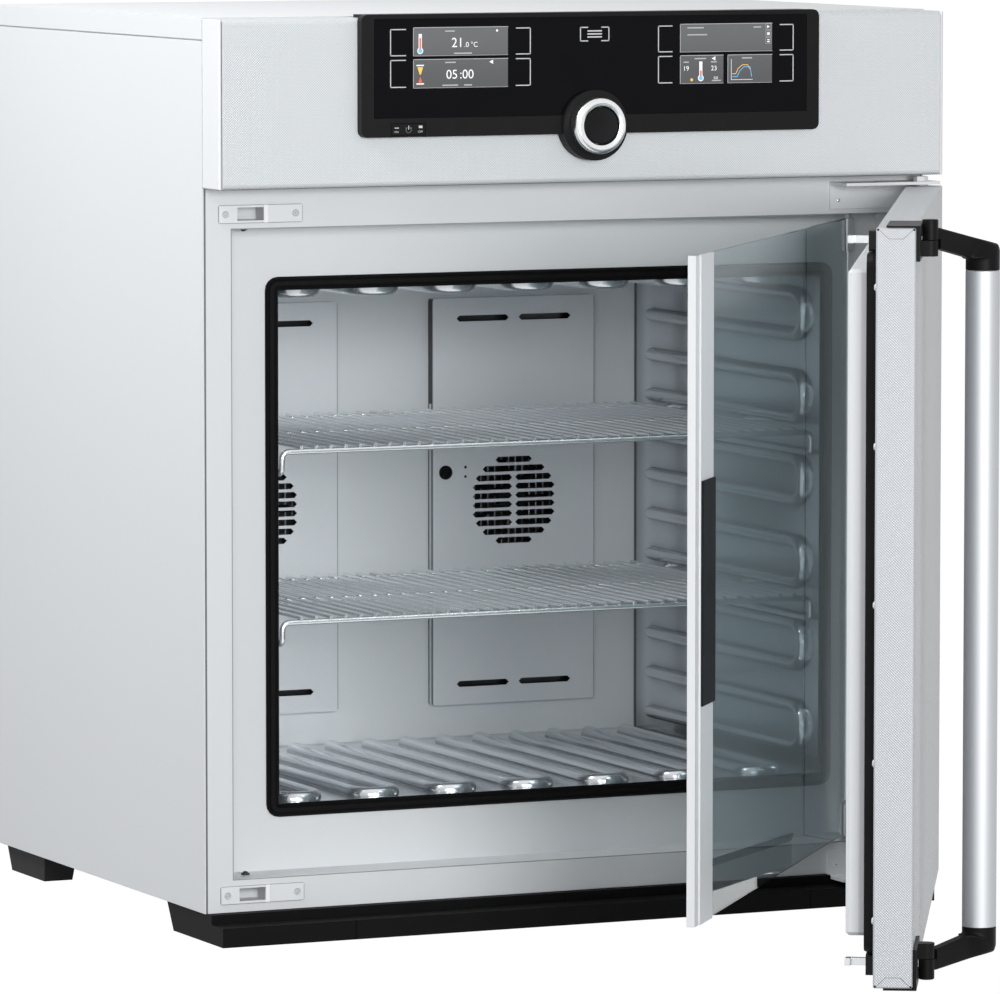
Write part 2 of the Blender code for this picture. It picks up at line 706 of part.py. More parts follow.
def make_insulation():
    """Foam round the chamber, with a well and a passage for each cooling module."""
    well = CHAMBER_BACK_Y + SHEET + INNER_SINK_DEPTH + 2 * GAP
    half = HALF - SHEET - PANEL_FLANGE - GAP
    foam = block("insulation", "foam",
                 (-half, RECESS_Y + SHEET + GAP, FOOT_HEIGHT + 2 * SHEET + 2 * GAP),
                 (half, REAR_Y - SHEET - GAP, INSULATION_TOP))
    reach = CHAMBER_HALF + SHEET + GAP
    chamber_end = CHAMBER_BACK_Y + SHEET + GAP
    cavity = block("foam_cavity", None, (-reach, FRAME_Y, CHAMBER_FLOOR - SHEET - GAP),
                   (reach, chamber_end, CHAMBER_TOP + SHEET + GAP))
    cut(foam, cavity)
    for x in (-MODULE_SPACING / 2, MODULE_SPACING / 2):
        half_w, half_h = INNER_SINK_WIDTH / 2 + GAP, INNER_SINK_HEIGHT / 2 + GAP
        pocket = block("foam_well", None, (x - half_w, chamber_end - SHEET, MODULE_Z - half_h),
                       (x + half_w, well, MODULE_Z + half_h))
        side = MODULE_BLOCK / 2 + GAP
        passage = block("foam_passage", None, (x - side, well - SHEET, MODULE_Z - side),
                        (x + side, REAR_Y, MODULE_Z + side))
        cut(foam, pocket)
        cut(foam, passage)


# Chamber: four ribbed walls, a rear wall and the double-ridged gasket round its mouth


def rib_profile():
    """Half-round section of an embossed rib, its foot sunk into the sheet."""
    half = RIB_WIDTH / 2
    crown = [(half * x, RIB_RISE * y) for x, y in arc((0, 0), 1.0, 0, 180, 4)]
    return [(half, -SHEET / 2), *crown, (-half, -SHEET / 2)]


def hairpin(front, end, centre):
    """A U that runs along the first value, closed at its front end."""
    bend = (front + RIB_PITCH / 2, centre)
    turn = arc(bend, RIB_PITCH / 2, 90, 270, 4)
    return [(end, centre + RIB_PITCH / 2), *turn, (end, centre - RIB_PITCH / 2)]


def make_chamber():
    start = RECESS_Y
    end = CHAMBER_BACK_Y - GAP
    low, high = CHAMBER_FLOOR + GAP, CHAMBER_TOP - GAP
    side_front, floor_front = start + SIDE_RIB_FRONT, start + FLOOR_RIB_FRONT
    rib_end = start + RIB_END
    centres = [RIB_SIDE_FIRST + 2 * RIB_PITCH * index for index in range(WALL_RIB_COUNT)]
    side_ribs = [hairpin(side_front, rib_end, centre) for centre in centres]
    profile = rib_profile()
    for name, side in (("chamber_left_wall", -1), ("chamber_right_wall", 1)):
        inner = side * CHAMBER_HALF
        outer = side * (CHAMBER_HALF + SHEET)
        wall = block(name, "chamber_steel",
                     (min(inner, outer), start, low), (max(inner, outer), end, high))
        ribs = swept(name + "_ribs", None, side_ribs, profile, "YZ", inner)
        if side > 0:
            ribs.scale.z = -1
        join(wall, ribs)
    middle = (FLOOR_RIB_COUNT - 1) / 2
    floor_centres = [
        FLOOR_RIB_SHIFT + 2 * RIB_PITCH * (index - middle) for index in range(FLOOR_RIB_COUNT)
    ]
    floor_ribs = []
    for centre in floor_centres:
        path = hairpin(floor_front, rib_end, centre)
        floor_ribs.append([(across, along) for along, across in path])
    reach = CHAMBER_HALF + SHEET
    for name, inner, outer in (
        ("chamber_floor", CHAMBER_FLOOR, CHAMBER_FLOOR - SHEET),
        ("chamber_ceiling", CHAMBER_TOP, CHAMBER_TOP + SHEET),
    ):
        wall = block(name, "chamber_steel",
                     (-reach, start, min(inner, outer)), (reach, end, max(inner, outer)))
        ribs = swept(name + "_ribs", None, floor_ribs, profile, "XY", inner)
        if outer > inner:
            ribs.scale.z = -1
        join(wall, ribs)
    rear = rectangle(-reach, reach, CHAMBER_FLOOR - SHEET, CHAMBER_TOP + SHEET)
    holes = [circle((x, MODULE_Z), FAN_HOLE_RADIUS, 32)
             for x in (-MODULE_SPACING / 2, MODULE_SPACING / 2)]
    sheet("chamber_rear_wall", "chamber_steel", [rear, *holes], "XZ", CHAMBER_BACK_Y, SHEET)
    width, base, ridge = CHAMBER_GASKET_WIDTH, CHAMBER_GASKET_BASE, CHAMBER_GASKET_RIDGE
    crest, valley = width * GASKET_RIDGE_SHARE, width * GASKET_VALLEY_SHARE
    section = [
        (0.0, GAP), (width, GAP), (width, base), (width - crest, ridge), (width - valley, base),
        (valley, base), (crest, ridge), (0.0, base),
    ]
    path = rectangle(-CHAMBER_HALF - width, CHAMBER_HALF + width,
                     CHAMBER_FLOOR - width, CHAMBER_TOP + width, width, 4)
    swept("chamber_gasket", "black_rubber", [path], section, "XZ", RECESS_Y, closed=True)


# Cooling modules: a slotted cover, a fan and a finned sink in front, one finned sink behind


def grille_slots(x, lengths, pitch, height, split_from):
    """Level slots that fill a circle, the rows from split_from on in two halves."""
    slots = []
    for row, length in enumerate(lengths):
        offset = pitch * (len(lengths) - 0.5 - row)
        for centre_z in (MODULE_Z - offset, MODULE_Z + offset):
            if row < split_from:
                slots.append(slot(x, centre_z, length, height))
                continue
            half = (length - GRILLE_BRIDGE) / 2
            shift = (half + GRILLE_BRIDGE) / 2
            slots.append(slot(x - shift, centre_z, half, height))
            slots.append(slot(x + shift, centre_z, half, height))
    return slots


def blade_reach():
    """Half the depth that a pitched blade takes up along the shaft."""
    return (BLADE_CHORD * math.cos(BLADE_PITCH) + SHEET * math.sin(BLADE_PITCH)) / 2


def make_rotor(name, x, middle, radius, boss_end, toward):
    """A bladed wheel whose shaft runs into the motor boss that faces it."""
    hub = cylinder(name, "black_plastic", (x, middle, MODULE_Z), "Y",
                   ROTOR_HUB_RADIUS, ROTOR_DEPTH, 16)
    root = ROTOR_HUB_RADIUS * 0.9
    reach = (radius + root) / 2
    for index in range(ROTOR_BLADES):
        blade = block("blade", None, (root, -BLADE_CHORD / 2, -SHEET / 2),
                      (radius, BLADE_CHORD / 2, SHEET / 2))
        turn = 2 * math.pi * index / ROTOR_BLADES
        blade.rotation_euler = (BLADE_PITCH, turn, 0)
        blade.location = (x + reach * math.cos(turn), middle, MODULE_Z - reach * math.sin(turn))
        join(hub, blade)
    tip = boss_end + toward * (MOTOR_BORE_DEPTH - GAP)
    shaft = cylinder("shaft", None, (x, (middle + tip) / 2, MODULE_Z), "Y",
                     ROTOR_SHAFT_RADIUS, abs(tip - middle), 10)
    join(hub, shaft)


def add_motor_boss(sink, x, end, root):
    """A round motor on a heat sink, bored for the fan's shaft."""
    boss = cylinder("motor_boss", None, (x, (end + root) / 2, MODULE_Z), "Y",
                    MOTOR_RADIUS, abs(root - end), 16)
    bore = cylinder("motor_bore", None, (x, end, MODULE_Z), "Y",
                    ROTOR_SHAFT_RADIUS + GAP, 2 * MOTOR_BORE_DEPTH, 12)
    join(sink, boss)
    cut(sink, bore)


def comb(x, width, fins, base_y, tip_y):
    """A heat sink's section: a base with fins that stand towards tip_y."""
    toward = 1 if tip_y > base_y else -1
    root = base_y + toward * SINK_BASE
    left = x - width / 2
    pitch = (width - FIN) / (fins - 1)
    points = [(left + width, base_y), (left, base_y), (left, tip_y), (left + FIN, tip_y)]
    for index in range(1, fins):
        near = left + pitch * index
        points += [(near - pitch + FIN, root), (near, root), (near, tip_y), (near + FIN, tip_y)]
    return points


def make_modules():
    cover_y = CHAMBER_BACK_Y - FAN_COVER_DEPTH
    rotor_y = cover_y + SHEET + BLADE_CLEARANCE + blade_reach()
    boss_y = rotor_y + ROTOR_DEPTH / 2 + GAP
    sink_tip = CHAMBER_BACK_Y + SHEET + 2 * GAP
    sink_back = sink_tip + INNER_SINK_DEPTH - GAP
    outer_sink_y = REAR_Y + 2 * GAP
    housing_back = REAR_Y + GAP + REAR_HOUSING_DEPTH
    rear_rotor_y = housing_back - SHEET - BLADE_CLEARANCE - blade_reach()
    rear_boss_y = rear_rotor_y - ROTOR_DEPTH / 2 - GAP
    half_w, half_h = FAN_COVER_WIDTH / 2, FAN_COVER_HEIGHT / 2
    outer = sheet("outer_heat_sink", "aluminium",
                  [comb(0.0, OUTER_SINK_WIDTH, OUTER_SINK_FINS, outer_sink_y,
                        outer_sink_y + OUTER_SINK_DEPTH)],
                  "XY", MODULE_Z - OUTER_SINK_HEIGHT / 2, OUTER_SINK_HEIGHT)
    for side, x in (("left", -MODULE_SPACING / 2), ("right", MODULE_SPACING / 2)):
        outline = rectangle(x - half_w, x + half_w, MODULE_Z - half_h, MODULE_Z + half_h,
                            FAN_COVER_CORNER)
        vents = []
        for z in (MODULE_Z - VENT_OFFSET, MODULE_Z + VENT_OFFSET):
            for shift in (-VENT_SPACING / 2, VENT_SPACING / 2):
                vents.append(slot(x + shift, z, VENT_LENGTH))
        slots = grille_slots(x, GRILLE_ROW_LENGTHS, GRILLE_PITCH, SLOT_HEIGHT, GRILLE_SPLIT_FROM)
        cover = sheet(side + "_fan_cover", "chamber_steel", [outline, *slots, *vents], "XZ",
                      cover_y, FAN_COVER_DEPTH - GAP)
        hollow = block(side + "_cover_hollow", None,
                       (x - half_w + SHEET, cover_y + SHEET, MODULE_Z - half_h + SHEET),
                       (x + half_w - SHEET, CHAMBER_BACK_Y + SHEET, MODULE_Z + half_h - SHEET),
                       FAN_COVER_CORNER / 2)
        cut(cover, hollow)

        sink = sheet(side + "_heat_sink", "aluminium",
                     [comb(x, INNER_SINK_WIDTH, INNER_SINK_FINS, sink_back, sink_tip)],
                     "XY", MODULE_Z - INNER_SINK_HEIGHT / 2, INNER_SINK_HEIGHT)
        half = MODULE_BLOCK / 2
        core = block(side + "_module_block", None,
                     (x - half, sink_back - SINK_BASE / 2, MODULE_Z - half),
                     (x + half, outer_sink_y - GAP, MODULE_Z + half))
        join(sink, core)
        add_motor_boss(sink, x, boss_y, sink_back - SINK_BASE / 3)
        add_motor_boss(outer, x, rear_boss_y, outer_sink_y + SINK_BASE / 3)
        make_rotor(side + "_fan_rotor", x, rotor_y, ROTOR_RADIUS, boss_y, 1)
        make_rotor(side + "_rear_fan_rotor", x, rear_rotor_y, REAR_FAN_RADIUS, rear_boss_y, -1)

    half_w, half_h = REAR_HOUSING_WIDTH / 2, REAR_HOUSING_HEIGHT / 2
    edge = rectangle(-half_w, half_w, MODULE_Z - half_h, MODULE_Z + half_h, REAR_HOUSING_CORNER)
    slots = []
    for x in (-MODULE_SPACING / 2, MODULE_SPACING / 2):
        slots += grille_slots(x, REAR_ROW_LENGTHS, REAR_GRILLE_PITCH, REAR_SLOT_HEIGHT, 1)
    housing = sheet("rear_housing", "white_paint", [edge, *slots], "XZ",
                    REAR_Y + GAP, REAR_HOUSING_DEPTH)
    hollow = block("housing_hollow", None,
                   (-half_w + SHEET, REAR_Y - SHEET, MODULE_Z - half_h + SHEET),
                   (half_w - SHEET, housing_back - SHEET, MODULE_Z + half_h - SHEET),
                   REAR_HOUSING_CORNER / 2)
    cut(housing, hollow)

    half_w, half_h = INLET_SIZE[0] / 2, INLET_SIZE[1] / 2
    inlet = block("mains_inlet", "black_plastic",
                  (INLET_X - half_w, REAR_Y + GAP, INLET_Z - half_h),
                  (INLET_X + half_w, REAR_Y + GAP + INLET_DEPTH, INLET_Z + half_h), INLET_EDGE)
    half_w, half_h = INLET_POCKET[0] / 2, INLET_POCKET[1] / 2
    pocket = block("inlet_pocket", None,
                   (INLET_X - half_w, REAR_Y + SHEET, INLET_Z - half_h),
                   (INLET_X + half_w, REAR_Y + 2 * INLET_DEPTH, INLET_Z + half_h))
    cut(inlet, pocket)
    half_w, half_h = INLET_PIN[0] / 2, INLET_PIN[1] / 2
    for x in (INLET_X - INLET_PIN_PITCH, INLET_X, INLET_X + INLET_PIN_PITCH):
        pin = block("inlet_pin", None,
                    (x - half_w, REAR_Y + 2 * GAP, INLET_Z - half_h),
                    (x + half_w, REAR_Y + INLET_DEPTH - SHEET, INLET_Z + half_h))
        join(inlet, pin)


# Fascia and console


def make_fascia():
    reach = HALF - FASCIA_CAP - GAP
    inner = FASCIA_SHEET / 2
    low, high = FASCIA_BOTTOM + inner, FASCIA_TOP - inner
    front, back = FACE_Y + inner, FRAME_Y - GAP
    bend = FASCIA_BEND
    path = [(back, low)]
    path += arc((front + bend, low + bend), bend, 270, 180, 3)
    path += arc((front + bend, high - bend), bend, 180, 90, 3)
    path += [(back, high)]
    folded("fascia", "linen_steel", path, "YZ", -reach, 2 * reach, FASCIA_SHEET)
    for name, side in (("fascia_left_cap", -1), ("fascia_right_cap", 1)):
        ends = sorted((side * HALF, side * (HALF - FASCIA_CAP)))
        block(name, "white_paint", (ends[0], FACE_Y, FASCIA_BOTTOM),
              (ends[1], back, FASCIA_TOP), 0.001)


def make_console():
    half = CONSOLE_WIDTH / 2
    back = FACE_Y - GAP
    plate = rectangle(-half, half, CONSOLE_BOTTOM, CONSOLE_TOP, CONSOLE_CORNER)
    console = sheet("console_housing", "black_plastic", [plate], "XZ",
                    CONSOLE_Y, CONSOLE_RELIEF - GAP)
    hood = block("console_hood", None,
                 (-half + CONSOLE_CORNER, back - CONSOLE_RELIEF / 2, FASCIA_TOP + GAP),
                 (half - CONSOLE_CORNER, FACE_Y + CONSOLE_HOOD_DEPTH, CONSOLE_TOP - GAP))
    boss_front = CONSOLE_Y - KNOB_BOSS_RELIEF
    boss = cylinder("knob_boss", None, (0, (boss_front + back) / 2, KNOB_Z), "Y",
                    KNOB_BOSS_RADIUS, back - boss_front, 40)
    glass_half = CONSOLE_GLASS_WIDTH / 2
    pocket = block("glass_pocket", None,
                   (-glass_half - GAP, CONSOLE_Y - CONSOLE_RELIEF, CONSOLE_GLASS_BOTTOM - GAP),
                   (glass_half + GAP, CONSOLE_Y + CONSOLE_GLASS + GAP, CONSOLE_GLASS_TOP + GAP))
    key_w, key_h = POWER_KEY_SIZE[0] / 2, POWER_KEY_SIZE[1] / 2
    key_back = CONSOLE_Y + POWER_KEY_DEPTH
    well = block("key_well", None,
                 (POWER_KEY_X - key_w - GAP, CONSOLE_Y - CONSOLE_RELIEF, POWER_KEY_Z - key_h - GAP),
                 (POWER_KEY_X + key_w + GAP, key_back + POWER_KEY_TRAVEL + GAP,
                  POWER_KEY_Z + key_h + GAP))
    join(console, hood)
    cut(console, pocket)
    join(console, boss)
    cut(console, well)
    glass = block("console_glass", "display_glass",
                  (-glass_half, CONSOLE_Y, CONSOLE_GLASS_BOTTOM),
                  (glass_half, CONSOLE_Y + CONSOLE_GLASS, CONSOLE_GLASS_TOP))
    notch = cylinder("glass_notch", None, (0, CONSOLE_Y, KNOB_Z), "Y",
                     KNOB_BOSS_RADIUS + GAP, 4 * CONSOLE_GLASS, 40)
    cut(glass, notch)
    block("power_key", "black_plastic",
          (POWER_KEY_X - key_w, CONSOLE_Y - GAP, POWER_KEY_Z - key_h),
          (POWER_KEY_X + key_w, key_back, POWER_KEY_Z + key_h), POWER_KEY_EDGE)

    radius, depth = KNOB_RADIUS, KNOB_DEPTH
    inner = KNOB_CAP_RADIUS + GAP
    across, along = KNOB_CROWN
    crown = [
        (radius - across + across * x, depth - along + along * y)
        for x, y in arc((0, 0), 1.0, 0, 90, 3)
    ]
    ring = [
        (0.0, 0.0), (radius - KNOB_FOOT, 0.0), (radius, KNOB_FOOT / 2), *crown,
        (inner + KNOB_EDGE, depth), (inner, depth - KNOB_EDGE), (inner, KNOB_FLOOR),
        (0.0, KNOB_FLOOR),
    ]
    turned("knob_ring", "chrome", ring[::-1], (0, KNOB_Y, KNOB_Z), "Y")
    cap_base = KNOB_FLOOR + KNOB_CAP_TRAVEL + GAP
    cap_face = depth - KNOB_CAP_INSET
    cap = [
        (0.0, cap_base), (KNOB_CAP_RADIUS, cap_base), (KNOB_CAP_RADIUS, cap_face - KNOB_CAP_EDGE),
        (KNOB_CAP_RADIUS - KNOB_CAP_EDGE, cap_face), (0.0, cap_face),
    ]
    turned("knob_cap", "black_plastic", cap[::-1], (0, KNOB_Y, KNOB_Z), "Y")


# Wire shelves, each one welded piece that rests on a pair of side ribs


def make_shelf(name, rib_index):
    rib_z = RIB_SIDE_FIRST + 2 * RIB_PITCH * rib_index + RIB_PITCH / 2
    rail_z = rib_z + SHELF_RAIL_LIFT
    grid_z = rail_z + SHELF_DROP
    half = SHELF_WIDTH / 2
    front = RECESS_Y + SHELF_FRONT
    back = front + SHELF_DEPTH
    bend = 2 * FRAME_WIRE
    frame = [
        (-half, back, rail_z), (-half, front + bend, rail_z), (-half, front, rail_z + bend / 2),
        (-half, front, grid_z - bend / 2), (-half + bend / 2, front, grid_z),
        (half - bend / 2, front, grid_z), (half, front, grid_z - bend / 2),
        (half, front, rail_z + bend / 2), (half, front + bend, rail_z), (half, back, rail_z),
    ]
    shelf = wires(name, "bright_steel", [frame], FRAME_WIRE)
    arches = []
    for y in ((front + back) / 2, back - bend):
        arches.append([
            (-half, y, rail_z), (-half, y, grid_z - bend / 2), (-half + bend / 2, y, grid_z),
            (half - bend / 2, y, grid_z), (half, y, grid_z - bend / 2), (half, y, rail_z),
        ])
    join(shelf, wires(name + "_arches", None, arches, FRAME_WIRE))
    wire_z = grid_z + (FRAME_WIRE + GRID_WIRE) / 2 - GRID_WELD
    reach = half - GRID_MARGIN
    count = int(2 * reach / GRID_PITCH) + 1
    first = -GRID_PITCH * (count - 1) / 2
    rods = []
    for index in range(count):
        x = first + GRID_PITCH * index
        rods.append([(x, front - FRAME_WIRE / 2, wire_z), (x, back, wire_z)])
    join(shelf, wires(name + "_grid", None, rods, GRID_WIRE, 0))
    return shelf


# Outer door, modelled closed and then swung about its axis


def make_outer_door():
    left = -HALF
    shell = block("door_shell", "linen_steel", (left, DOOR_FACE_Y, DOOR_BOTTOM),
                  (DOOR_RIGHT, DOOR_BACK_Y, DOOR_TOP), DOOR_EDGE)
    panel_half = DOOR_PANEL_WIDTH / 2
    hollow = block("door_hollow", None,
                   (left + DOOR_SKIN, DOOR_FACE_Y + DOOR_SKIN, DOOR_BOTTOM + DOOR_SKIN),
                   (DOOR_RIGHT - DOOR_SKIN, DOOR_BACK_Y - DOOR_SKIN, DOOR_TOP - DOOR_SKIN))
    lap = panel_half - DOOR_PANEL_LAP
    mouth = block("door_mouth", None,
                  (-lap, DOOR_BACK_Y - 2 * DOOR_SKIN, DOOR_PANEL_BOTTOM + DOOR_PANEL_LAP),
                  (lap, DOOR_BACK_Y + DOOR_SKIN, DOOR_PANEL_TOP - DOOR_PANEL_LAP))
    cut(shell, hollow)
    cut(shell, mouth)
    parts = [shell]
    for z in (DOOR_TOP, DOOR_BOTTOM):
        bore = cylinder("pin_bore", None, (DOOR_PIVOT_X, DOOR_PIVOT_Y, z), "Z",
                        HINGE_PIN_RADIUS + GAP, 2 * (HINGE_PIN_LENGTH + GAP), 20)
        cut(shell, bore)
    tunnel_w, tunnel_h = HOOK_TUNNEL
    housing_w, housing_h = HOOK_HOUSING
    for side, z in HOOK_Z.items():
        tunnel = block(side + "_hook_tunnel", None,
                       (HANDLE_X - tunnel_w / 2, DOOR_FACE_Y - SHEET, z - tunnel_h / 2),
                       (HANDLE_X + tunnel_w / 2, DOOR_BACK_Y + SHEET, z + tunnel_h / 2))
        cut(shell, tunnel)
        collar = rectangle(HANDLE_X - housing_w / 2, HANDLE_X + housing_w / 2,
                           z - housing_h / 2, z + housing_h / 2, HOOK_HOUSING_CORNER)
        mouth_w = tunnel_w + 2 * GAP
        mouth = rectangle(HANDLE_X - mouth_w / 2, HANDLE_X + mouth_w / 2,
                          z - tunnel_h / 2, z + tunnel_h / 2)
        parts.append(sheet(side + "_hook_housing", "black_plastic", [collar, mouth], "XZ",
                           DOOR_BACK_Y + GAP, HOOK_HOUSING_DEPTH - GAP))
    parts.append(block("door_inner_panel", "door_white",
                       (-panel_half, DOOR_BACK_Y + GAP, DOOR_PANEL_BOTTOM),
                       (panel_half, DOOR_BACK_Y + DOOR_PANEL_DEPTH, DOOR_PANEL_TOP),
                       DOOR_PANEL_EDGE))
    half = DOOR_GASKET_WIDTH / 2
    strip, depth = DOOR_GASKET_STRIP, DOOR_GASKET_DEPTH
    shoulder, crown = depth * DOOR_GASKET_SHOULDER, strip * DOOR_GASKET_CROWN
    section = [
        (0.0, -GAP), (strip, -GAP), (strip, -shoulder), (strip - crown, -depth),
        (crown, -depth), (0.0, -shoulder),
    ]
    path = rectangle(-half, half, DOOR_GASKET_BOTTOM, DOOR_GASKET_TOP, strip, 4)
    parts.append(swept("door_gasket", "black_rubber", [path], section, "XZ", DOOR_BACK_Y,
                       closed=True))
    return parts


def make_corner_plates():
    """Black angle plates on the door's free corners, each with the lug its hub turns on."""
    plates = []
    left = -HALF
    right = left + CORNER_PLATE_WIDTH
    face = DOOR_FACE_Y - GAP
    for side, up in (("upper", 1), ("lower", -1)):
        edge = DOOR_TOP if up > 0 else DOOR_BOTTOM
        rim = edge + up * (GAP + CORNER_TOP_LEAF)
        far = edge - up * CORNER_PLATE_HEIGHT[side]
        leaf = block(side + "_corner_plate", "black_plastic",
                     (left, face - CORNER_PLATE, min(rim, far)), (right, face, max(rim, far)))
        top = block(side + "_top_leaf", None,
                    (left, face - CORNER_PLATE / 2, min(rim, edge + up * GAP)),
                    (right, face + CORNER_PLATE_RETURN, max(rim, edge + up * GAP)))
        join(leaf, top)
        hub_far = HUB_TOP - HUB_HEIGHT if up > 0 else HUB_BOTTOM + HUB_HEIGHT
        lug_near = hub_far - up * GAP
        lug_far = lug_near - up * LUG_HEIGHT
        lug = cylinder(side + "_lug", None, (HANDLE_X, HANDLE_Y, (lug_near + lug_far) / 2), "Z",
                       HUB_RADIUS, LUG_HEIGHT, 20)
        web = block(side + "_lug_web", None,
                    (HANDLE_X - HUB_RADIUS, HANDLE_Y, min(lug_near, lug_far)),
                    (HANDLE_X + HUB_RADIUS, face - CORNER_PLATE / 2, max(lug_near, lug_far)))
        pin_tip = lug_near + up * LUG_PIN_LENGTH
        pin_root = (lug_near + lug_far) / 2
        pin = cylinder(side + "_lug_pin", None, (HANDLE_X, HANDLE_Y, (pin_tip + pin_root) / 2), "Z",
                       LUG_PIN_RADIUS, abs(pin_tip - pin_root), 16)
        z, width = HOOK_Z[side], CORNER_WINDOW_WIDTH
        window = block(side + "_hook_window", None,
                       (HANDLE_X - width / 2, face - 2 * CORNER_PLATE, z - HOOK_TUNNEL[1] / 2),
                       (HANDLE_X + width / 2, face + CORNER_PLATE, z + HOOK_TUNNEL[1] / 2))
        for tool in (web, lug, pin):
            join(leaf, tool)
        cut(leaf, window)
        plates.append(leaf)
    return plates


def make_handle():
    """Grip tube between two cranked arms, with a hook behind each hub."""
    pieces = []
    grip_x = HANDLE_X + HANDLE_REACH * math.cos(HANDLE_ANGLE)
    grip_y = HANDLE_Y + HANDLE_REACH * math.sin(HANDLE_ANGLE)
    pieces.append(cylinder("handle_tube", "grip_satin",
                           (grip_x, grip_y, (GRIP_LOW + GRIP_HIGH) / 2), "Z",
                           GRIP_RADIUS, GRIP_HIGH - GRIP_LOW, 28))
    for side, up in (("upper", 1), ("lower", -1)):
        hub_low = HUB_TOP - HUB_HEIGHT if up > 0 else HUB_BOTTOM
        hub = cylinder(side + "_handle_arm", "black_plastic",
                       (HANDLE_X, HANDLE_Y, hub_low + HUB_HEIGHT / 2), "Z",
                       HUB_RADIUS, HUB_HEIGHT, 20)
        mouth = HUB_TOP - HUB_HEIGHT if up > 0 else HUB_BOTTOM + HUB_HEIGHT
        bore = cylinder(side + "_hub_bore", None, (HANDLE_X, HANDLE_Y, mouth), "Z",
                        LUG_PIN_RADIUS + GAP, 2 * LUG_PIN_LENGTH, 16)
        grip_end = GRIP_HIGH + GAP if up > 0 else GRIP_LOW - GAP
        socket_far = grip_end + up * GRIP_SOCKET
        dome = [
            (GRIP_RADIUS - GRIP_SOCKET_EDGE + GRIP_SOCKET_EDGE * x,
             GRIP_SOCKET - GRIP_SOCKET_EDGE + GRIP_SOCKET_EDGE * y)
            for x, y in arc((0, 0), 1.0, 0, 90, 3)
        ]
        elbow = [(0.0, 0.0), (GRIP_RADIUS, 0.0), *dome, (0.0, GRIP_SOCKET)]
        socket = turned(side + "_grip_socket", None, elbow[::-1], (grip_x, grip_y, grip_end), "Z", 28)
        if up < 0:
            socket.rotation_euler.x = math.pi
        root_outer = (HUB_TOP if up > 0 else HUB_BOTTOM) - up * ARM_ROOT_INSET
        root_inner = root_outer - up * ARM_ROOT_HEIGHT
        hub_end = (hub_low if up > 0 else hub_low + HUB_HEIGHT) + up * GAP
        clear = HUB_RADIUS + 2 * GAP
        profile = [
            (HUB_RADIUS / 2, hub_end), (HUB_RADIUS / 2, root_outer), (ARM_ROOT_REACH, root_outer),
            (HANDLE_REACH, socket_far - up * GRIP_SOCKET_EDGE),
            (HANDLE_REACH, root_inner - up * ARM_SLOPE), (ARM_ROOT_REACH, root_inner),
            (clear, root_inner), (clear, hub_end),
        ]
        arm = sheet(side + "_arm_bar", None, [profile], "XZ", -ARM_THICKNESS / 2, ARM_THICKNESS)
        arm.location = (HANDLE_X, HANDLE_Y, 0.0)
        arm.rotation_euler.z = HANDLE_ANGLE
        join(hub, arm)
        join(hub, socket)
        cut(hub, bore)
        pieces.append(hub)

        width, height = HOOK_SIZE
        z = HOOK_Z[side]
        claw_depth = width
        hook = [
            (-width / 2, HUB_RADIUS + GAP), (width / 2, HUB_RADIUS + GAP),
            (width / 2, HOOK_LENGTH), (-width / 2 - HOOK_CLAW, HOOK_LENGTH),
            (-width / 2 - HOOK_CLAW, HOOK_LENGTH - claw_depth), (-width / 2, HOOK_LENGTH - claw_depth),
        ]
        bar = sheet(side + "_hook", "chrome", [hook], "XY", z - height / 2, height)
        bar.location.x = HANDLE_X
        bar.location.y = HANDLE_Y
        pieces.append(bar)
    return pieces


def make_hinge_plates():
    """Angle brackets on the cabinet that carry the outer door on two pins."""
    back = FRAME_Y - GAP
    for side, up in (("upper", 1), ("lower", -1)):
        edge = DOOR_TOP if up > 0 else DOOR_BOTTOM
        near = edge + up * (GAP + HINGE_COLLAR)
        far = near + up * HINGE_LEAF
        inner = far - up * HINGE_MOUNT_HEIGHT
        path = [
            (back - HINGE_ARM_REACH, near), (back - HINGE_ARM_REACH, far),
            (back, far), (back, inner), (back - SHEET, inner), (back - SHEET, near),
        ]
        right = HALF - GAP
        bracket = sheet(side + "_hinge_plate", "zinc", [path], "YZ", right - HINGE_WIDTH, HINGE_WIDTH)
        pin_end = edge - up * (HINGE_PIN_LENGTH - GAP)
        pin = cylinder(side + "_hinge_pin", None,
                       (DOOR_PIVOT_X, DOOR_PIVOT_Y, (pin_end + far - up * HINGE_LEAF / 2) / 2), "Z",
                       HINGE_PIN_RADIUS, abs(far - up * HINGE_LEAF / 2 - pin_end), 20)
        collar_end = edge + up * GAP
        collar = cylinder(side + "_hinge_collar", None,
                          (DOOR_PIVOT_X, DOOR_PIVOT_Y, (collar_end + far - up * SHEET) / 2), "Z",
                          HINGE_COLLAR_RADIUS, abs(far - up * SHEET - collar_end), 20)
        join(bracket, collar)
        join(bracket, pin)
        if up > 0:
            nut_end = far + HINGE_NUT
            nut = cylinder("upper_hinge_nut", None,
                           (DOOR_PIVOT_X, DOOR_PIVOT_Y, (far - SHEET + nut_end) / 2), "Z",
                           HINGE_NUT_RADIUS, nut_end - far + SHEET, 6)
            join(bracket, nut)
        else:
            notch = block("lower_hinge_notch", None,
                          (right - HINGE_WIDTH - GAP, DOOR_PIVOT_Y, far - GAP),
                          (HALF, FRAME_Y + GAP, FOOT_HEIGHT + SHEET))
            cut(bpy.data.objects["front_plinth"], notch)


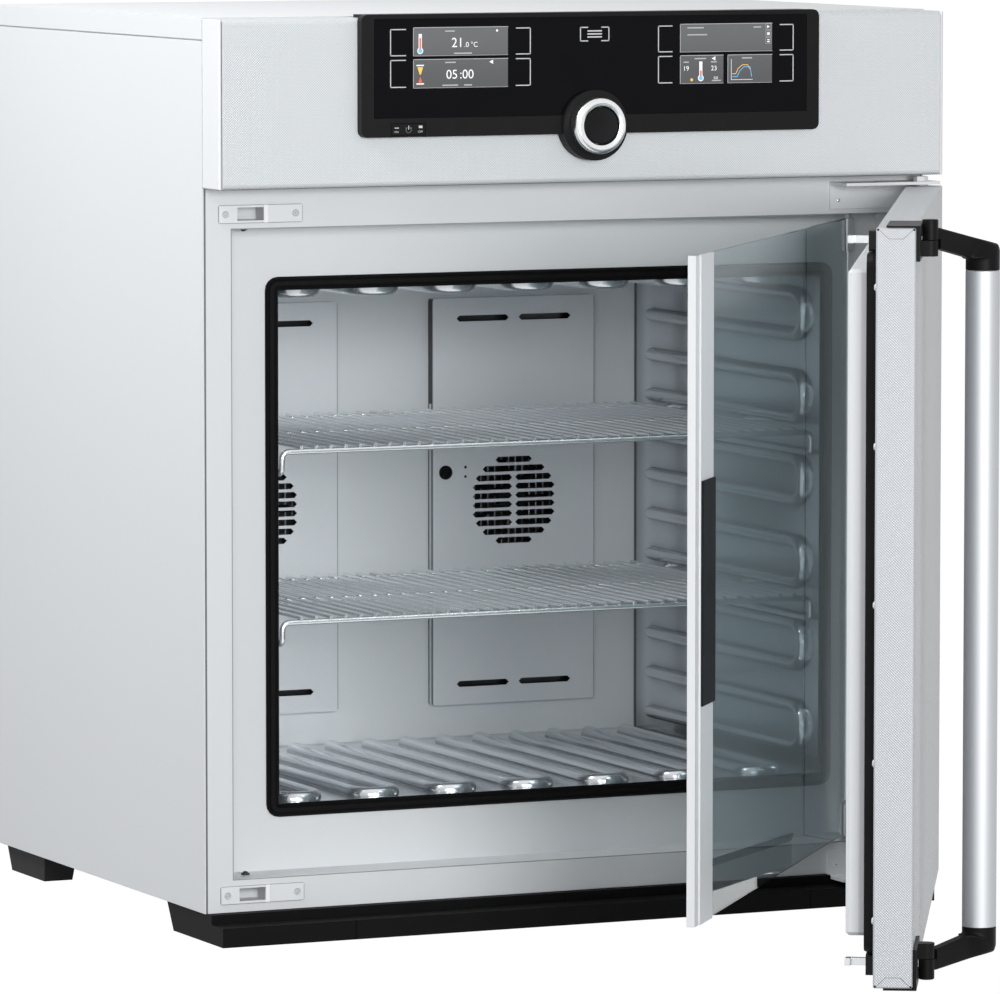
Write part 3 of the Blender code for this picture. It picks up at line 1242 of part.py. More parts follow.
def make_strikes_and_catches():
    width, height = STRIKE_SIZE
    slot_w, slot_h = HOOK_SLOT
    middle = STRIKE_X + STRIKE_X_SHIFT
    for side, z in HOOK_Z.items():
        plate = rectangle(middle - width / 2, middle + width / 2, z - height / 2, z + height / 2,
                          STRIKE_CORNER)
        window = rectangle(STRIKE_X - slot_w / 2, STRIKE_X + slot_w / 2, z - slot_h / 2, z + slot_h / 2)
        sheet(side + "_strike_plate", "zinc", [plate, window], "XZ",
              FRAME_Y - GAP - STRIKE_SHEET, STRIKE_SHEET)
    for side, wall, up in (("upper", RECESS_TOP, 1), ("lower", RECESS_BOTTOM, -1)):
        radius, height = CATCH_RADIUS, CATCH_HEIGHT
        seat, ball = CATCH_SEAT, CATCH_BALL
        profile = [(0.0, 0.0), (radius, 0.0), (radius, height * seat[1])]
        profile += [(radius * seat[0], height * seat[1]), (radius * ball[0], height * ball[1])]
        profile += [(0.0, height)]
        catch = turned(side + "_ball_catch", "chrome", profile[::-1],
                       (CATCH_X, GLASS_Y, wall - up * GAP), "Z", 16)
        if up > 0:
            catch.rotation_euler.x = math.pi


# Inner glass door, modelled closed and then swung about its axis


def make_glass_door():
    front = GLASS_Y - GLASS_THICKNESS / 2
    back = GLASS_Y + GLASS_THICKNESS / 2
    wall = STRIP_WALL
    pane_left = GLASS_LEFT + wall + GAP
    pane = block("glass_pane", "glass", (pane_left, front, GLASS_BOTTOM),
                 (GLASS_RIGHT, back, GLASS_TOP), GLASS_EDGE)
    outer, inner = front - GAP, back + GAP
    strip = [
        (GLASS_LEFT, inner + wall), (GLASS_LEFT + STRIP_BACK, inner + wall),
        (GLASS_LEFT + STRIP_BACK, inner), (GLASS_LEFT + wall, inner),
        (GLASS_LEFT + wall, outer), (GLASS_LEFT + STRIP_WIDTH, outer),
        (GLASS_LEFT + STRIP_WIDTH, outer - STRIP_PAD),
        (GLASS_LEFT + STRIP_GROOVE, outer - STRIP_PAD),
        (GLASS_LEFT + STRIP_GROOVE, outer - wall / 2), (GLASS_LEFT, outer - wall / 2),
    ]
    edge = sheet("glass_edge_strip", "clip_white", [strip], "XY", GLASS_BOTTOM,
                 GLASS_TOP - GLASS_BOTTOM)
    pad = outer - STRIP_PAD - GAP
    pull = block("glass_pull", "black_plastic",
                 (GLASS_LEFT + STRIP_GROOVE, pad - PULL_DEPTH, PULL_BOTTOM),
                 (GLASS_LEFT + STRIP_WIDTH, pad, PULL_BOTTOM + PULL_HEIGHT), GLASS_EDGE)
    pieces = [pane, edge, pull]
    for side, up in (("upper", 1), ("lower", -1)):
        end = GLASS_TOP if up > 0 else GLASS_BOTTOM
        far = end - up * GLASS_CLIP_HEIGHT
        right = GLASS_PIVOT_X + GLASS_CLIP_COVER
        section = [
            (right, outer - GLASS_CLIP_WALL), (right, inner + GLASS_CLIP_WALL),
            (right - GLASS_CLIP_WIDTH, inner + GLASS_CLIP_WALL),
            (right - GLASS_CLIP_WIDTH, inner), (GLASS_RIGHT + GAP, inner),
            (GLASS_RIGHT + GAP, outer), (right - GLASS_CLIP_WIDTH, outer),
            (right - GLASS_CLIP_WIDTH, outer - GLASS_CLIP_WALL),
        ]
        clip = sheet(side + "_glass_hinge", "clip_white", [section], "XY",
                     min(end, far), GLASS_CLIP_HEIGHT)
        wall_z = RECESS_TOP if up > 0 else RECESS_BOTTOM
        tip = wall_z - up * GAP
        root = end - up * GLASS_PIN_RADIUS
        pin = cylinder(side + "_glass_pin", None, (GLASS_PIVOT_X, GLASS_Y, (tip + root) / 2), "Z",
                       GLASS_PIN_RADIUS, abs(tip - root), 16)
        join(clip, pin)
        pieces.append(clip)
    return pieces


def axis_empty(name, x, y, z, carrier=None):
    """An empty on a joint's axis, which carries what turns or slides there."""
    empty = bpy.data.objects.new(name, None)
    PARTS.objects.link(empty)
    empty.location = (x, y, z)
    if carrier:
        hold(carrier, [empty])
    return empty


def hold(empty, pieces):
    """Parent the pieces to the empty and leave them where they are."""
    for piece in pieces:
        piece.parent = empty
        piece.matrix_parent_inverse = empty.matrix_basis.inverted()


make_casing()
make_feet()
make_front_frame()
make_insulation()
make_chamber()
make_modules()
make_fascia()
make_console()
for shelf_name, rib in SHELF_RIBS.items():
    make_shelf(shelf_name, rib)
make_hinge_plates()
make_strikes_and_catches()

door_axis = axis_empty("door_axis", DOOR_PIVOT_X, DOOR_PIVOT_Y, DOOR_BOTTOM)
hold(door_axis, make_outer_door() + make_corner_plates())
handle_axis = axis_empty("handle_axis", HANDLE_X, HANDLE_Y, HUB_BOTTOM, door_axis)
hold(handle_axis, make_handle())
glass_axis = axis_empty("glass_axis", GLASS_PIVOT_X, GLASS_Y, GLASS_BOTTOM)
hold(glass_axis, make_glass_door())

# The pose of the photograph: both doors open and the handle pulled
door_axis.rotation_euler.z = DOOR_OPEN
glass_axis.rotation_euler.z = GLASS_OPEN
handle_axis.rotation_euler.z = -HANDLE_SWING / 2
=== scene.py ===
import math

import bmesh
import bpy
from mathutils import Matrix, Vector


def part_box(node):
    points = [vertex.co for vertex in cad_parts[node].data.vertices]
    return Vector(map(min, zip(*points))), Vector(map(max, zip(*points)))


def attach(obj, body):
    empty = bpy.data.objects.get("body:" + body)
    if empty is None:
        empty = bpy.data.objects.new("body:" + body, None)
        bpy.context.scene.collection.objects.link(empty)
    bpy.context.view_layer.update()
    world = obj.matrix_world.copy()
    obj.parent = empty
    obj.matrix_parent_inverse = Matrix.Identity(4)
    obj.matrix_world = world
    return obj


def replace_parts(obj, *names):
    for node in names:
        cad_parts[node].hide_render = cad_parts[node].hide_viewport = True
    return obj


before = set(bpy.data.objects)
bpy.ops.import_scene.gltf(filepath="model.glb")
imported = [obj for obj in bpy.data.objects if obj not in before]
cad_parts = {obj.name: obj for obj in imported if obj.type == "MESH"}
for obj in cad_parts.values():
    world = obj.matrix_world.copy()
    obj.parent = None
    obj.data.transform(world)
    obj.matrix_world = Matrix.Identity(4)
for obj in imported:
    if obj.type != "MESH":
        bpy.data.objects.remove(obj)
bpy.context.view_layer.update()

# The view. A long lens stands well to the front left of the cabinet and a little above it, level
# in roll, and looks down by about five degrees. Places are in metres, in the part's own frame.
VIEW_PLACE = (-2.99844, -6.43247, 1.04579)
VIEW_DOWN = 5.2129
VIEW_TURN = 24.5396
LENS = 271.93

lens_data = bpy.data.cameras.new("camera")
lens_data.lens = LENS
lens_data.sensor_width = 36.0
lens_data.clip_end = 400.0
camera = bpy.data.objects.new("camera", lens_data)
camera.location = VIEW_PLACE
camera.rotation_euler = (math.radians(90.0 - VIEW_DOWN), 0.0, math.radians(-VIEW_TURN))
bpy.context.scene.collection.objects.link(camera)
bpy.context.scene.camera = camera
bpy.context.scene.view_settings.view_transform = "Standard"


# Floor and light. A plain pale floor runs to the horizon under a white surround. Two large soft
# lamps stand in front, a weaker one at the front left, and one hangs above the left side panel.
FLOOR_REACH = 120.0
FLOOR_TONE = (0.15, 0.15, 0.153)
FLOOR_GLOW = 0.84
GLOW_STRENGTH = 1.18
SURROUND = (1.0, 1.0, 1.0, 1.0)
SURROUND_LIGHT = 0.25
LAMPS = {
    "key_lamp": ((-0.50, -4.2, 1.10), 1.3, 80.0, (-0.1, 0.0, 0.80)),
    "right_lamp": ((0.30, -4.0, 0.60), 1.0, 16.0, (-0.2, 0.4, 0.36)),
    "left_lamp": ((-1.8, -3.6, 1.15), 1.2, 24.0, (0.0, 0.1, 0.50)),
    "side_lamp": ((-1.7, 0.0, 2.1), 1.1, 46.0, (-0.38, 0.25, 0.85)),
}


class Value:
    """One output of a shader node. Python arithmetic on it adds the Math nodes."""

    def __init__(self, tree, socket):
        self.tree = tree
        self.socket = socket

    def maths(self, operation, *given):
        made = self.tree.nodes.new("ShaderNodeMath")
        made.operation = operation
        for entry, value in zip(made.inputs, given):
            if isinstance(value, Value):
                self.tree.links.new(value.socket, entry)
            else:
                entry.default_value = value
        return Value(self.tree, made.outputs[0])

    def __add__(self, other):
        return self.maths("ADD", self, other)

    def __radd__(self, other):
        return self.maths("ADD", other, self)

    def __sub__(self, other):
        return self.maths("SUBTRACT", self, other)

    def __rsub__(self, other):
        return self.maths("SUBTRACT", other, self)

    def __mul__(self, other):
        return self.maths("MULTIPLY", self, other)

    def __rmul__(self, other):
        return self.maths("MULTIPLY", other, self)

    def __abs__(self):
        return self.maths("ABSOLUTE", self)

    def sine(self):
        return self.maths("SINE", self)

    def most(self, other):
        return self.maths("MAXIMUM", self, other)

    def above(self, limit):
        return self.maths("GREATER_THAN", self, limit)

    def below(self, limit):
        return self.maths("LESS_THAN", self, limit)

    def ramp(self, low, high, start=0.0, end=1.0):
        """Follows the value from low to high as start to end, level outside."""
        made = self.tree.nodes.new("ShaderNodeMapRange")
        made.interpolation_type = "SMOOTHSTEP"
        self.tree.links.new(self.socket, made.inputs["Value"])
        for entry, value in (("From Min", low), ("From Max", high), ("To Min", start), ("To Max", end)):
            made.inputs[entry].default_value = value
        return Value(self.tree, made.outputs["Result"])


class Wiring:
    """The nodes of one material or of the surround."""

    def __init__(self, owner):
        owner.use_nodes = True
        self.tree = owner.node_tree

    def node(self, kind, settings=None, sockets=None, output=0):
        made = self.tree.nodes.new(kind)
        for name, setting in (settings or {}).items():
            setattr(made, name, setting)
        for name, value in (sockets or {}).items():
            if isinstance(value, Value):
                self.tree.links.new(value.socket, made.inputs[name])
            else:
                made.inputs[name].default_value = value
        return Value(self.tree, made.outputs[output])

    def shown(self):
        """One where the camera sees it, plainly, in a mirror or through glass, and else nothing."""
        seen, mirrored, passed = [self.node("ShaderNodeLightPath", None, None, ray)
                                  for ray in ("Is Camera Ray", "Is Glossy Ray", "Is Transmission Ray")]
        return seen.most(mirrored).most(passed)


class Finish(Wiring):
    """One material. Its colour and its other plain numbers sit on the shader's own sockets."""

    def __init__(self, name, color, roughness=0.5, metallic=0.0, **others):
        self.material = bpy.data.materials.new(name)
        Wiring.__init__(self, self.material)
        self.shader = self.tree.nodes["Principled BSDF"]
        self.color = (*color, 1.0)
        self.plain("Base Color", self.color)
        self.plain("Roughness", roughness)
        self.plain("Metallic", metallic)
        for socket, value in others.items():
            self.plain(socket.replace("_", " "), value)
        self.material.diffuse_color = self.color
        self.spot = self.node("ShaderNodeTexCoord", output="Object")
        split = self.node("ShaderNodeSeparateXYZ", None, {"Vector": self.spot}).socket.node
        self.x, self.y, self.z = [Value(self.tree, out) for out in split.outputs]

    def plain(self, socket, value):
        self.shader.inputs[socket].default_value = value

    def feed(self, socket, value):
        self.tree.links.new(value.socket, self.shader.inputs[socket])

    def facing(self):
        """How far the surface's own normal points along x, y and z, whatever the pose."""
        normal = self.node("ShaderNodeTexCoord", output="Normal")
        split = self.node("ShaderNodeSeparateXYZ", None, {"Vector": normal}).socket.node
        return [Value(self.tree, out) for out in split.outputs]

    def noise(self, scale, detail=2.0, stretch=(1.0, 1.0, 1.0)):
        """Even noise about 0.5, with scale cycles to the metre along each stretched direction."""
        place = self.node("ShaderNodeVectorMath", {"operation": "MULTIPLY"},
                          {0: self.spot, 1: stretch}, "Vector")
        return self.node("ShaderNodeTexNoise", None,
                         {"Vector": place, "Scale": scale, "Detail": detail}, 0)

    def blend(self, first, second, share):
        """A colour between two, either of them a plain colour or another blend."""
        return self.node("ShaderNodeMix", {"data_type": "RGBA"},
                         {0: share, 6: first, 7: second}, 2)

    def tint(self, amount, share):
        """The finish's own colour, lighter and darker by amount as share goes from 1 to 0."""
        light = [min(1.0, channel * (1.0 + amount)) for channel in self.color[:3]]
        dark = [channel * (1.0 - amount) for channel in self.color[:3]]
        return self.blend((*dark, 1.0), (*light, 1.0), share)

    def relief(self, height, depth, edge=0.0):
        """Bump of that depth in metres; edge rounds the solid's corners by a bevel's radius."""
        entries = {"Height": height, "Distance": depth, "Strength": 1.0}
        if edge:
            entries["Normal"] = self.node("ShaderNodeBevel", {"samples": 4}, {"Radius": edge})
        self.feed("Normal", self.node("ShaderNodeBump", None, entries))

    def dress(self, *names):
        """Gives CAD nodes this material."""
        for name in names:
            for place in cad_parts[name].material_slots:
                place.material = self.material


floor_mesh = bpy.data.meshes.new("floor")
floor_mesh.from_pydata(
    [(x * FLOOR_REACH, y * FLOOR_REACH, 0.0) for x, y in ((-1, -1), (1, -1), (1, 1), (-1, 1))],
    [], [(0, 1, 2, 3)],
)
floor = bpy.data.objects.new("floor", floor_mesh)
bpy.context.scene.collection.objects.link(floor)
floor_paint = Finish("floor_paint", FLOOR_TONE, 0.9)
floor_glow = floor_paint.node("ShaderNodeEmission", None, {"Color": SURROUND, "Strength": GLOW_STRENGTH})
floor_mix = floor_paint.node("ShaderNodeMixShader", None, {
    0: floor_paint.shown() * FLOOR_GLOW,
    1: Value(floor_paint.tree, floor_paint.shader.outputs[0]),
    2: floor_glow,
})
floor_paint.tree.links.new(floor_mix.socket, floor_paint.tree.nodes["Material Output"].inputs[0])
floor_mesh.materials.append(floor_paint.material)

surround = bpy.data.worlds.new("surround")
bpy.context.scene.world = surround
sky = Wiring(surround)
sky_light = sky.node("ShaderNodeBackground", None, {
    "Color": SURROUND, "Strength": sky.shown() * (1.0 - SURROUND_LIGHT) + SURROUND_LIGHT,
})
sky_output = next(n for n in sky.tree.nodes if n.type == "OUTPUT_WORLD")
sky.tree.links.new(sky_light.socket, sky_output.inputs[0])

for lamp_name, (place, size, power, target) in LAMPS.items():
    lamp_data = bpy.data.lights.new(lamp_name, "AREA")
    lamp_data.shape = "DISK"
    lamp_data.size = size
    lamp_data.energy = power
    lamp = bpy.data.objects.new(lamp_name, lamp_data)
    lamp.location = place
    lamp.rotation_euler = (Vector(target) - Vector(place)).to_track_quat("-Z", "Y").to_euler()
    bpy.context.scene.collection.objects.link(lamp)


# Cabinet panels. Side panels, top cover, rear panel and rear housing are folded steel sheet with a
# fine pale powder coat, screwed together from behind. The coat shows a slight orange peel.
PANEL_WHITE = (0.750, 0.775, 0.795)
CAP_WHITE = (0.780, 0.805, 0.830)
PEEL_PITCH = 1100.0
PEEL_DEPTH = 0.00003
PANEL_EDGE = 0.0008


def powder_coat(name, color, roughness=0.42, peel=PEEL_DEPTH):
    coat = Finish(name, color, roughness, IOR=1.5)
    grain = coat.noise(PEEL_PITCH)
    cloud = coat.noise(5.0, 1.0)
    coat.tone = coat.tint(0.012, cloud * 0.6 + grain * 0.4)
    coat.feed("Base Color", coat.tone)
    coat.feed("Roughness", grain * 0.10 + (roughness - 0.05))
    coat.relief(grain, peel, PANEL_EDGE)
    return coat


panel_coat = powder_coat("panel_coat", PANEL_WHITE)
panel_coat.dress("left_side_panel", "right_side_panel", "top_cover", "rear_panel", "rear_housing")
cap_coat = powder_coat("cap_coat", CAP_WHITE, 0.38)
cap_coat.dress("fascia_left_cap", "fascia_right_cap")


# Front frame. One white moulded and coated frame carries the door seal, with a stepped recess
# round the chamber. The shade in the narrow gaps at its sides and round the recess is painted dark on its
# front.
FRAME_WHITE = (0.720, 0.740, 0.760)
SEAM_SHADE = (0.030, 0.033, 0.036, 1.0)
FRAME_HALF, FRAME_GAP = 0.3707, 0.0014
RECESS_HALF = 0.3435
RECESS_MIDDLE, RECESS_RISE = 0.35875, 0.30125
RECESS_LINE = 0.0009
frame_coat = powder_coat("frame_coat", FRAME_WHITE, 0.36, 0.00002)
# Painted shade: dark bands on the frame's front along its outer sides and round the recess edge, where
# shade falls in the gaps.
on_front = frame_coat.y.below(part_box("front_frame")[0].y + 0.0008)
panel_gap_shade = abs(frame_coat.x).above(FRAME_HALF - FRAME_GAP)
recess_edge_shade = (abs(frame_coat.x).below(RECESS_HALF + RECESS_LINE)
               * abs(frame_coat.z - RECESS_MIDDLE).below(RECESS_RISE + RECESS_LINE))
frame_coat.feed("Base Color", frame_coat.blend(
    frame_coat.tone, SEAM_SHADE, on_front * (panel_gap_shade * 0.85).most(recess_edge_shade * 0.6)))
frame_coat.dress("front_frame")


# Plinth, base pan and feet. The plinth and the tapered rear feet are black moulded plastic with a
# fine leather-like grain; the pan under the cabinet is plain zinc-coated sheet.
MOULDED_BLACK = (0.008, 0.008, 0.0085)
GRAIN_PITCH = 1400.0


def moulded_black(name, color=MOULDED_BLACK, roughness=0.5, depth=0.00004, edge=0.0007):
    plastic = Finish(name, color, roughness, IOR=1.48, Specular_IOR_Level=0.08)
    grain = plastic.noise(GRAIN_PITCH, 3.0)
    dust = plastic.noise(60.0, 3.0)
    plastic.feed("Base Color", plastic.tint(0.18, dust))
    plastic.feed("Roughness", grain * 0.16 + (roughness - 0.08))
    plastic.relief(grain, depth, edge)
    return plastic


plinth_plastic = moulded_black("plinth_plastic", (0.004, 0.004, 0.0042), 0.6)
plinth_plastic.dress("front_plinth")
foot_plastic = moulded_black("foot_plastic", (0.030, 0.030, 0.031), 0.6)
foot_plastic.dress("rear_left_foot", "rear_right_foot")


def zinc_sheet(name, color=(0.62, 0.64, 0.66), roughness=0.38):
    """Zinc-coated steel with faint crystals and rolling lines."""
    zinc = Finish(name, color, roughness, 1.0)
    crystals = zinc.node("ShaderNodeTexVoronoi", {"feature": "F1"},
                         {"Vector": zinc.spot, "Scale": 140.0}, "Color")
    split = zinc.node("ShaderNodeSeparateColor", None, {"Color": crystals})
    lines = zinc.noise(900.0, 2.0, (1.0, 0.04, 1.0))
    zinc.feed("Base Color", zinc.tint(0.07, split * 0.5 + lines * 0.5))
    zinc.feed("Roughness", split * 0.12 + (roughness - 0.06))
    zinc.relief(lines, 0.00001, 0.0004)
    return zinc


pan_zinc = zinc_sheet("pan_zinc")
pan_zinc.dress("base_pan")


# Fascia. Stainless sheet rolled with a linen pattern of small raised dots on the slant, bent over
# at top and bottom and held between the two end caps. The outer door's skin is the same sheet.
LINEN_STEEL = (0.640, 0.665, 0.690)
LINEN_PITCH = 0.0024
LINEN_DEPTH = 0.00030
FASCIA_FOLD = 0.6988


def linen_sheet(name, across, along, upward, roughness=0.34, color=LINEN_STEEL):
    """The rolled dots, laid out in the plane of whichever side of the sheet faces out."""
    sheet = Finish(name, color, roughness, 0.12)

    def along_line(vector, direction):
        return sheet.node("ShaderNodeVectorMath", {"operation": "DOT_PRODUCT"},
                          {0: vector, 1: direction}, "Value")

    def facing(direction):
        return abs(along_line(sheet.node("ShaderNodeTexCoord", output="Normal"), direction)).above(0.7)

    turn = 2.0 * math.pi / LINEN_PITCH
    s, t, z = [along_line(sheet.spot, direction) for direction in (across, along, upward)]
    end_face, flat_face = facing(across), facing(upward)
    level = s + (t - s) * end_face
    height = z + (t - z) * flat_face
    dots = (level * turn).sine() * (height * turn).sine() * 0.5 + 0.5
    cloud = sheet.noise(9.0, 2.0)
    sheet.tone = sheet.tint(0.20, dots * 0.94 + cloud * 0.06)
    sheet.feed("Base Color", sheet.tone)
    sheet.feed("Roughness", 0.42 - dots * 0.14)
    sheet.relief(dots, LINEN_DEPTH, 0.0006)
    return sheet


fascia_sheet = linen_sheet("fascia_sheet", (1, 0, 0), (0, 1, 0), (0, 0, 1))
# Painted shade: the sheet is darkened below its bottom fold, where the shadow under the fascia falls.
under_fold_shade = fascia_sheet.z.below(FASCIA_FOLD) * 0.85
fascia_sheet.feed("Base Color", fascia_sheet.blend(fascia_sheet.tone, SEAM_SHADE, under_fold_shade))
fascia_sheet.dress("fascia")


# Console. A black moulded housing with a hood over the fascia's top edge and a round boss for the
# knob, and a glossy black window over the two screens, let into the housing from the front.
CONSOLE_BLACK = (0.011, 0.011, 0.0115)
WINDOW_BLACK = (0.004, 0.004, 0.005)
console_plastic = moulded_black("console_plastic", CONSOLE_BLACK, 0.42, 0.00003)
console_plastic.dress("console_housing")
window_glass = Finish("window_glass", WINDOW_BLACK, 0.06, IOR=1.5, Specular_IOR_Level=0.06)
smear = window_glass.noise(26.0, 3.0)
window_glass.feed("Roughness", smear * 0.06 + 0.03)
window_glass.feed("Base Color", window_glass.tint(0.25, smear))
window_glass.relief(window_glass.noise(14.0, 1.0), 0.00002)
window_glass.dress("console_glass")


# Screens. Two lit panels lie just behind the window. Each shows grey fields with thin white
# borders, plain numbers and small generic signs; printed white bracket keys stand beside them.
SCREEN_FACE = -0.07430
SCREEN_BACK = -0.07422
MARK_FACE = -0.07438
SIGN_FACE = MARK_FACE - 0.00004
MARK_LINE = 0.0006
KEY_LINE = 0.0009
DOT_PITCH = 0.0005
FIELD_GREY = (0.095, 0.097, 0.100)
MARK_WHITE = (0.80, 0.81, 0.82)


def join_rows(work, row, after):
    """Faces between two closed rows of corners, each corner named once."""
    for index in range(len(row)):
        ahead = (index + 1) % len(row)
        corners = list(dict.fromkeys((row[index], row[ahead], after[ahead], after[index])))
        if len(corners) > 2:
            work.faces.new(corners)


def finished(work, name, body, finish, sharp=0.0):
    """The piece made of built faces, smooth except at edges sharper than that many degrees."""
    bmesh.ops.recalc_face_normals(work, faces=work.faces)
    mesh = bpy.data.meshes.new(name)
    work.to_mesh(mesh)
    work.free()
    if sharp:
        for face in mesh.polygons:
            face.use_smooth = True
        mesh.set_sharp_from_angle(angle=math.radians(sharp))
    made = bpy.data.objects.new(name, mesh)
    bpy.context.scene.collection.objects.link(made)
    mesh.materials.append(finish.material)
    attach(made, body)
    return made


def plates(name, outlines, front, back, body, finish, spot=lambda depth, x, z: (x, depth, z)):
    """Thin plates from flat outlines; spot turns a depth and a point of an outline into a place."""
    work = bmesh.new()
    for outline in outlines:
        near = [work.verts.new(spot(front, *point)) for point in outline]
        far = [work.verts.new(spot(back, *point)) for point in outline]
        work.faces.new(near)
        work.faces.new(far[::-1])
        join_rows(work, far, near)
    finished(work, name, body, finish)


def on_console(name, outlines, front, back, finish):
    plates(name, outlines, front, back, "cabinet", finish)


def bar(left, right, low, high):
    return [(left, low), (right, low), (right, high), (left, high)]


def stroke(points, width):
    """A line of even width as one quad for each stretch, with square ends."""
    quads = []
    for start, end in zip(points, points[1:]):
        along = (Vector(end) - Vector(start)).normalized() * (width / 2)
        side = Vector((-along.y, along.x))
        a, b = Vector(start) - along, Vector(end) + along
        quads.append([tuple(a - side), tuple(b - side), tuple(b + side), tuple(a + side)])
    return quads


def disc(x, z, radius, steps=24):
    turns = [2 * math.pi * step / steps for step in range(steps)]
    return [(x + radius * math.cos(turn), z + radius * math.sin(turn)) for turn in turns]


def lit(paint, amount, share, glow):
    """The finish glows faintly in its own colour, varied by amount as share goes from 1 to 0."""
    for socket in ("Base Color", "Emission Color"):
        paint.feed(socket, paint.tint(amount, share))
    paint.plain("Emission Strength", glow)


def printed(name, color, glow=0.35):
    """Ink or a lit mark: an even colour broken by the faint dot grid of a screen."""
    ink = Finish(name, color, 0.45)
    pitch = 2 * math.pi / DOT_PITCH
    lit(ink, 0.05, (ink.x * pitch).sine() * (ink.z * pitch).sine() * 0.5 + 0.5, glow)
    return ink


field_paint = Finish("field_paint", FIELD_GREY, 0.25)
lit(field_paint, 0.22, field_paint.z.ramp(0.788, 0.846), 0.25)
white_ink = printed("white_ink", MARK_WHITE)
grey_ink = printed("grey_ink", (0.42, 0.43, 0.44), 0.15)
red_ink = printed("red_ink", (0.72, 0.10, 0.06))
blue_ink = printed("blue_ink", (0.16, 0.48, 0.80))
yellow_ink = printed("yellow_ink", (0.86, 0.52, 0.08))
# Painted light: the printed keys and the power key's signs glow faintly, though they are ink and not lit.
glowing_key_ink = printed("glowing_key_ink", (0.62, 0.63, 0.64), 0.05)

LEFT_SCREEN = (-0.1830, -0.0875)
RIGHT_SCREEN = (0.0897, 0.1854)
FIELD_ROWS = ((0.8185, 0.8445), (0.7890, 0.8152))
fields = [bar(*LEFT_SCREEN, *FIELD_ROWS[0]), bar(*LEFT_SCREEN, *FIELD_ROWS[1]),
          bar(*RIGHT_SCREEN, *FIELD_ROWS[0]),
          bar(RIGHT_SCREEN[0], 0.1345, *FIELD_ROWS[1]), bar(0.1392, RIGHT_SCREEN[1], *FIELD_ROWS[1])]
on_console("screen_fields", fields, SCREEN_FACE, SCREEN_BACK, field_paint)

borders = []
for field in fields:
    (left, low), (right, high) = field[0], field[2]
    borders += stroke([(left, high), (right, high)], MARK_LINE)
    borders += stroke([(left, low), (left, high)], MARK_LINE)
    borders += stroke([(left, low), (right, low)], MARK_LINE * 0.6)
for low in (0.8385, 0.8320, 0.8255):
    corner = (0.1788, low)
    borders += stroke([corner, (corner[0] + 0.0056, low), (corner[0] + 0.0056, low + 0.0055),
                       (corner[0], low + 0.0055), corner], MARK_LINE * 0.5)
on_console("screen_borders", borders, MARK_FACE, SCREEN_FACE, grey_ink)

marks = []
for x, z in ((-0.1762, 0.8232), (0.1110, 0.7940)):
    marks.append(disc(x, z, 0.0030))
    marks.append(bar(x - 0.0016, x + 0.0016, z + 0.001, z + 0.0155))
marks.append(disc(-0.0985, 0.8410, 0.0011))
marks += [[(-0.1065, 0.8122), (-0.1025, 0.8102), (-0.1025, 0.8142)],
          [(0.1222, 0.8122), (0.1262, 0.8102), (0.1262, 0.8142)],
          [(0.1802, 0.8397), (0.1802, 0.8427), (0.1830, 0.8412)]]
marks += [bar(0.1803, 0.1829, 0.8334, 0.8360), bar(0.1803, 0.1829, 0.8266, 0.8278),
          bar(0.1803, 0.1829, 0.8286, 0.8294)]
marks += stroke([(0.1428, 0.8110), (0.1428, 0.7920), (0.1650, 0.7920)], 0.0004)
marks += [bar(-0.1800, -0.1724, 0.8092, 0.8104), bar(-0.1800, -0.1724, 0.7922, 0.7934)]
on_console("screen_signs", marks, MARK_FACE, SCREEN_FACE, white_ink)

words = []
for left, right, z in ((-0.1510, -0.1415, 0.8410), (-0.1420, -0.1240, 0.8205), (-0.1510, -0.1405, 0.8122),
                       (-0.1540, -0.1380, 0.7912), (-0.1320, -0.1240, 0.7912), (0.0970, 0.1140, 0.8410),
                       (0.1660, 0.1740, 0.8410), (0.0970, 0.1175, 0.8345), (0.1045, 0.1165, 0.8122),
                       (0.1540, 0.1645, 0.8122), (0.0930, 0.0985, 0.8090), (0.1215, 0.1275, 0.8090),
                       (0.1225, 0.1320, 0.7915)):
    words.append(bar(left, right, z - 0.0006, z + 0.0006))
on_console("screen_lines", words, MARK_FACE, SCREEN_FACE, grey_ink)

reds = [bar(-0.17705, -0.17535, 0.8250, 0.8350), bar(0.11015, 0.11185, 0.7958, 0.8010),
        [(-0.1782, 0.7940), (-0.1742, 0.7940), (-0.1762, 0.7995)]]
on_console("screen_reds", reds, SIGN_FACE, MARK_FACE, red_ink)
blues = [disc(-0.1762, 0.8232, 0.0021), disc(0.1110, 0.7940, 0.0021)]
blues += stroke([(0.1440, 0.7948), (0.1490, 0.7948), (0.1515, 0.8000), (0.1560, 0.8040),
                 (0.1625, 0.8040), (0.1640, 0.7948)], 0.0006)
on_console("screen_blues", blues, SIGN_FACE, MARK_FACE, blue_ink)
yellows = stroke([(0.1440, 0.7975), (0.1475, 0.7975), (0.1500, 0.8025), (0.1545, 0.8058),
                  (0.1600, 0.8058), (0.1618, 0.8020)], 0.0006)
yellows += [[(-0.1790, 0.8082), (-0.1734, 0.8082), (-0.1757, 0.8013), (-0.1767, 0.8013)],
            disc(0.1015, 0.7925, 0.0014)]
on_console("screen_yellows", yellows, SIGN_FACE, MARK_FACE, yellow_ink)


NUMBER_HALF = 0.00003


def numbers(name, text, x, z, height, front, body, finish):
    """Plain numerals as a very thin solid, their lower left corner at x and z."""
    data = bpy.data.curves.new(name, "FONT")
    data.body = text
    data.size = height * 1.38
    data.extrude = NUMBER_HALF
    made = bpy.data.objects.new(name, data)
    made.location = (x, front + NUMBER_HALF, z)
    made.rotation_euler = (math.radians(90), 0.0, 0.0)
    bpy.context.scene.collection.objects.link(made)
    data.materials.append(finish.material)
    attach(made, body)


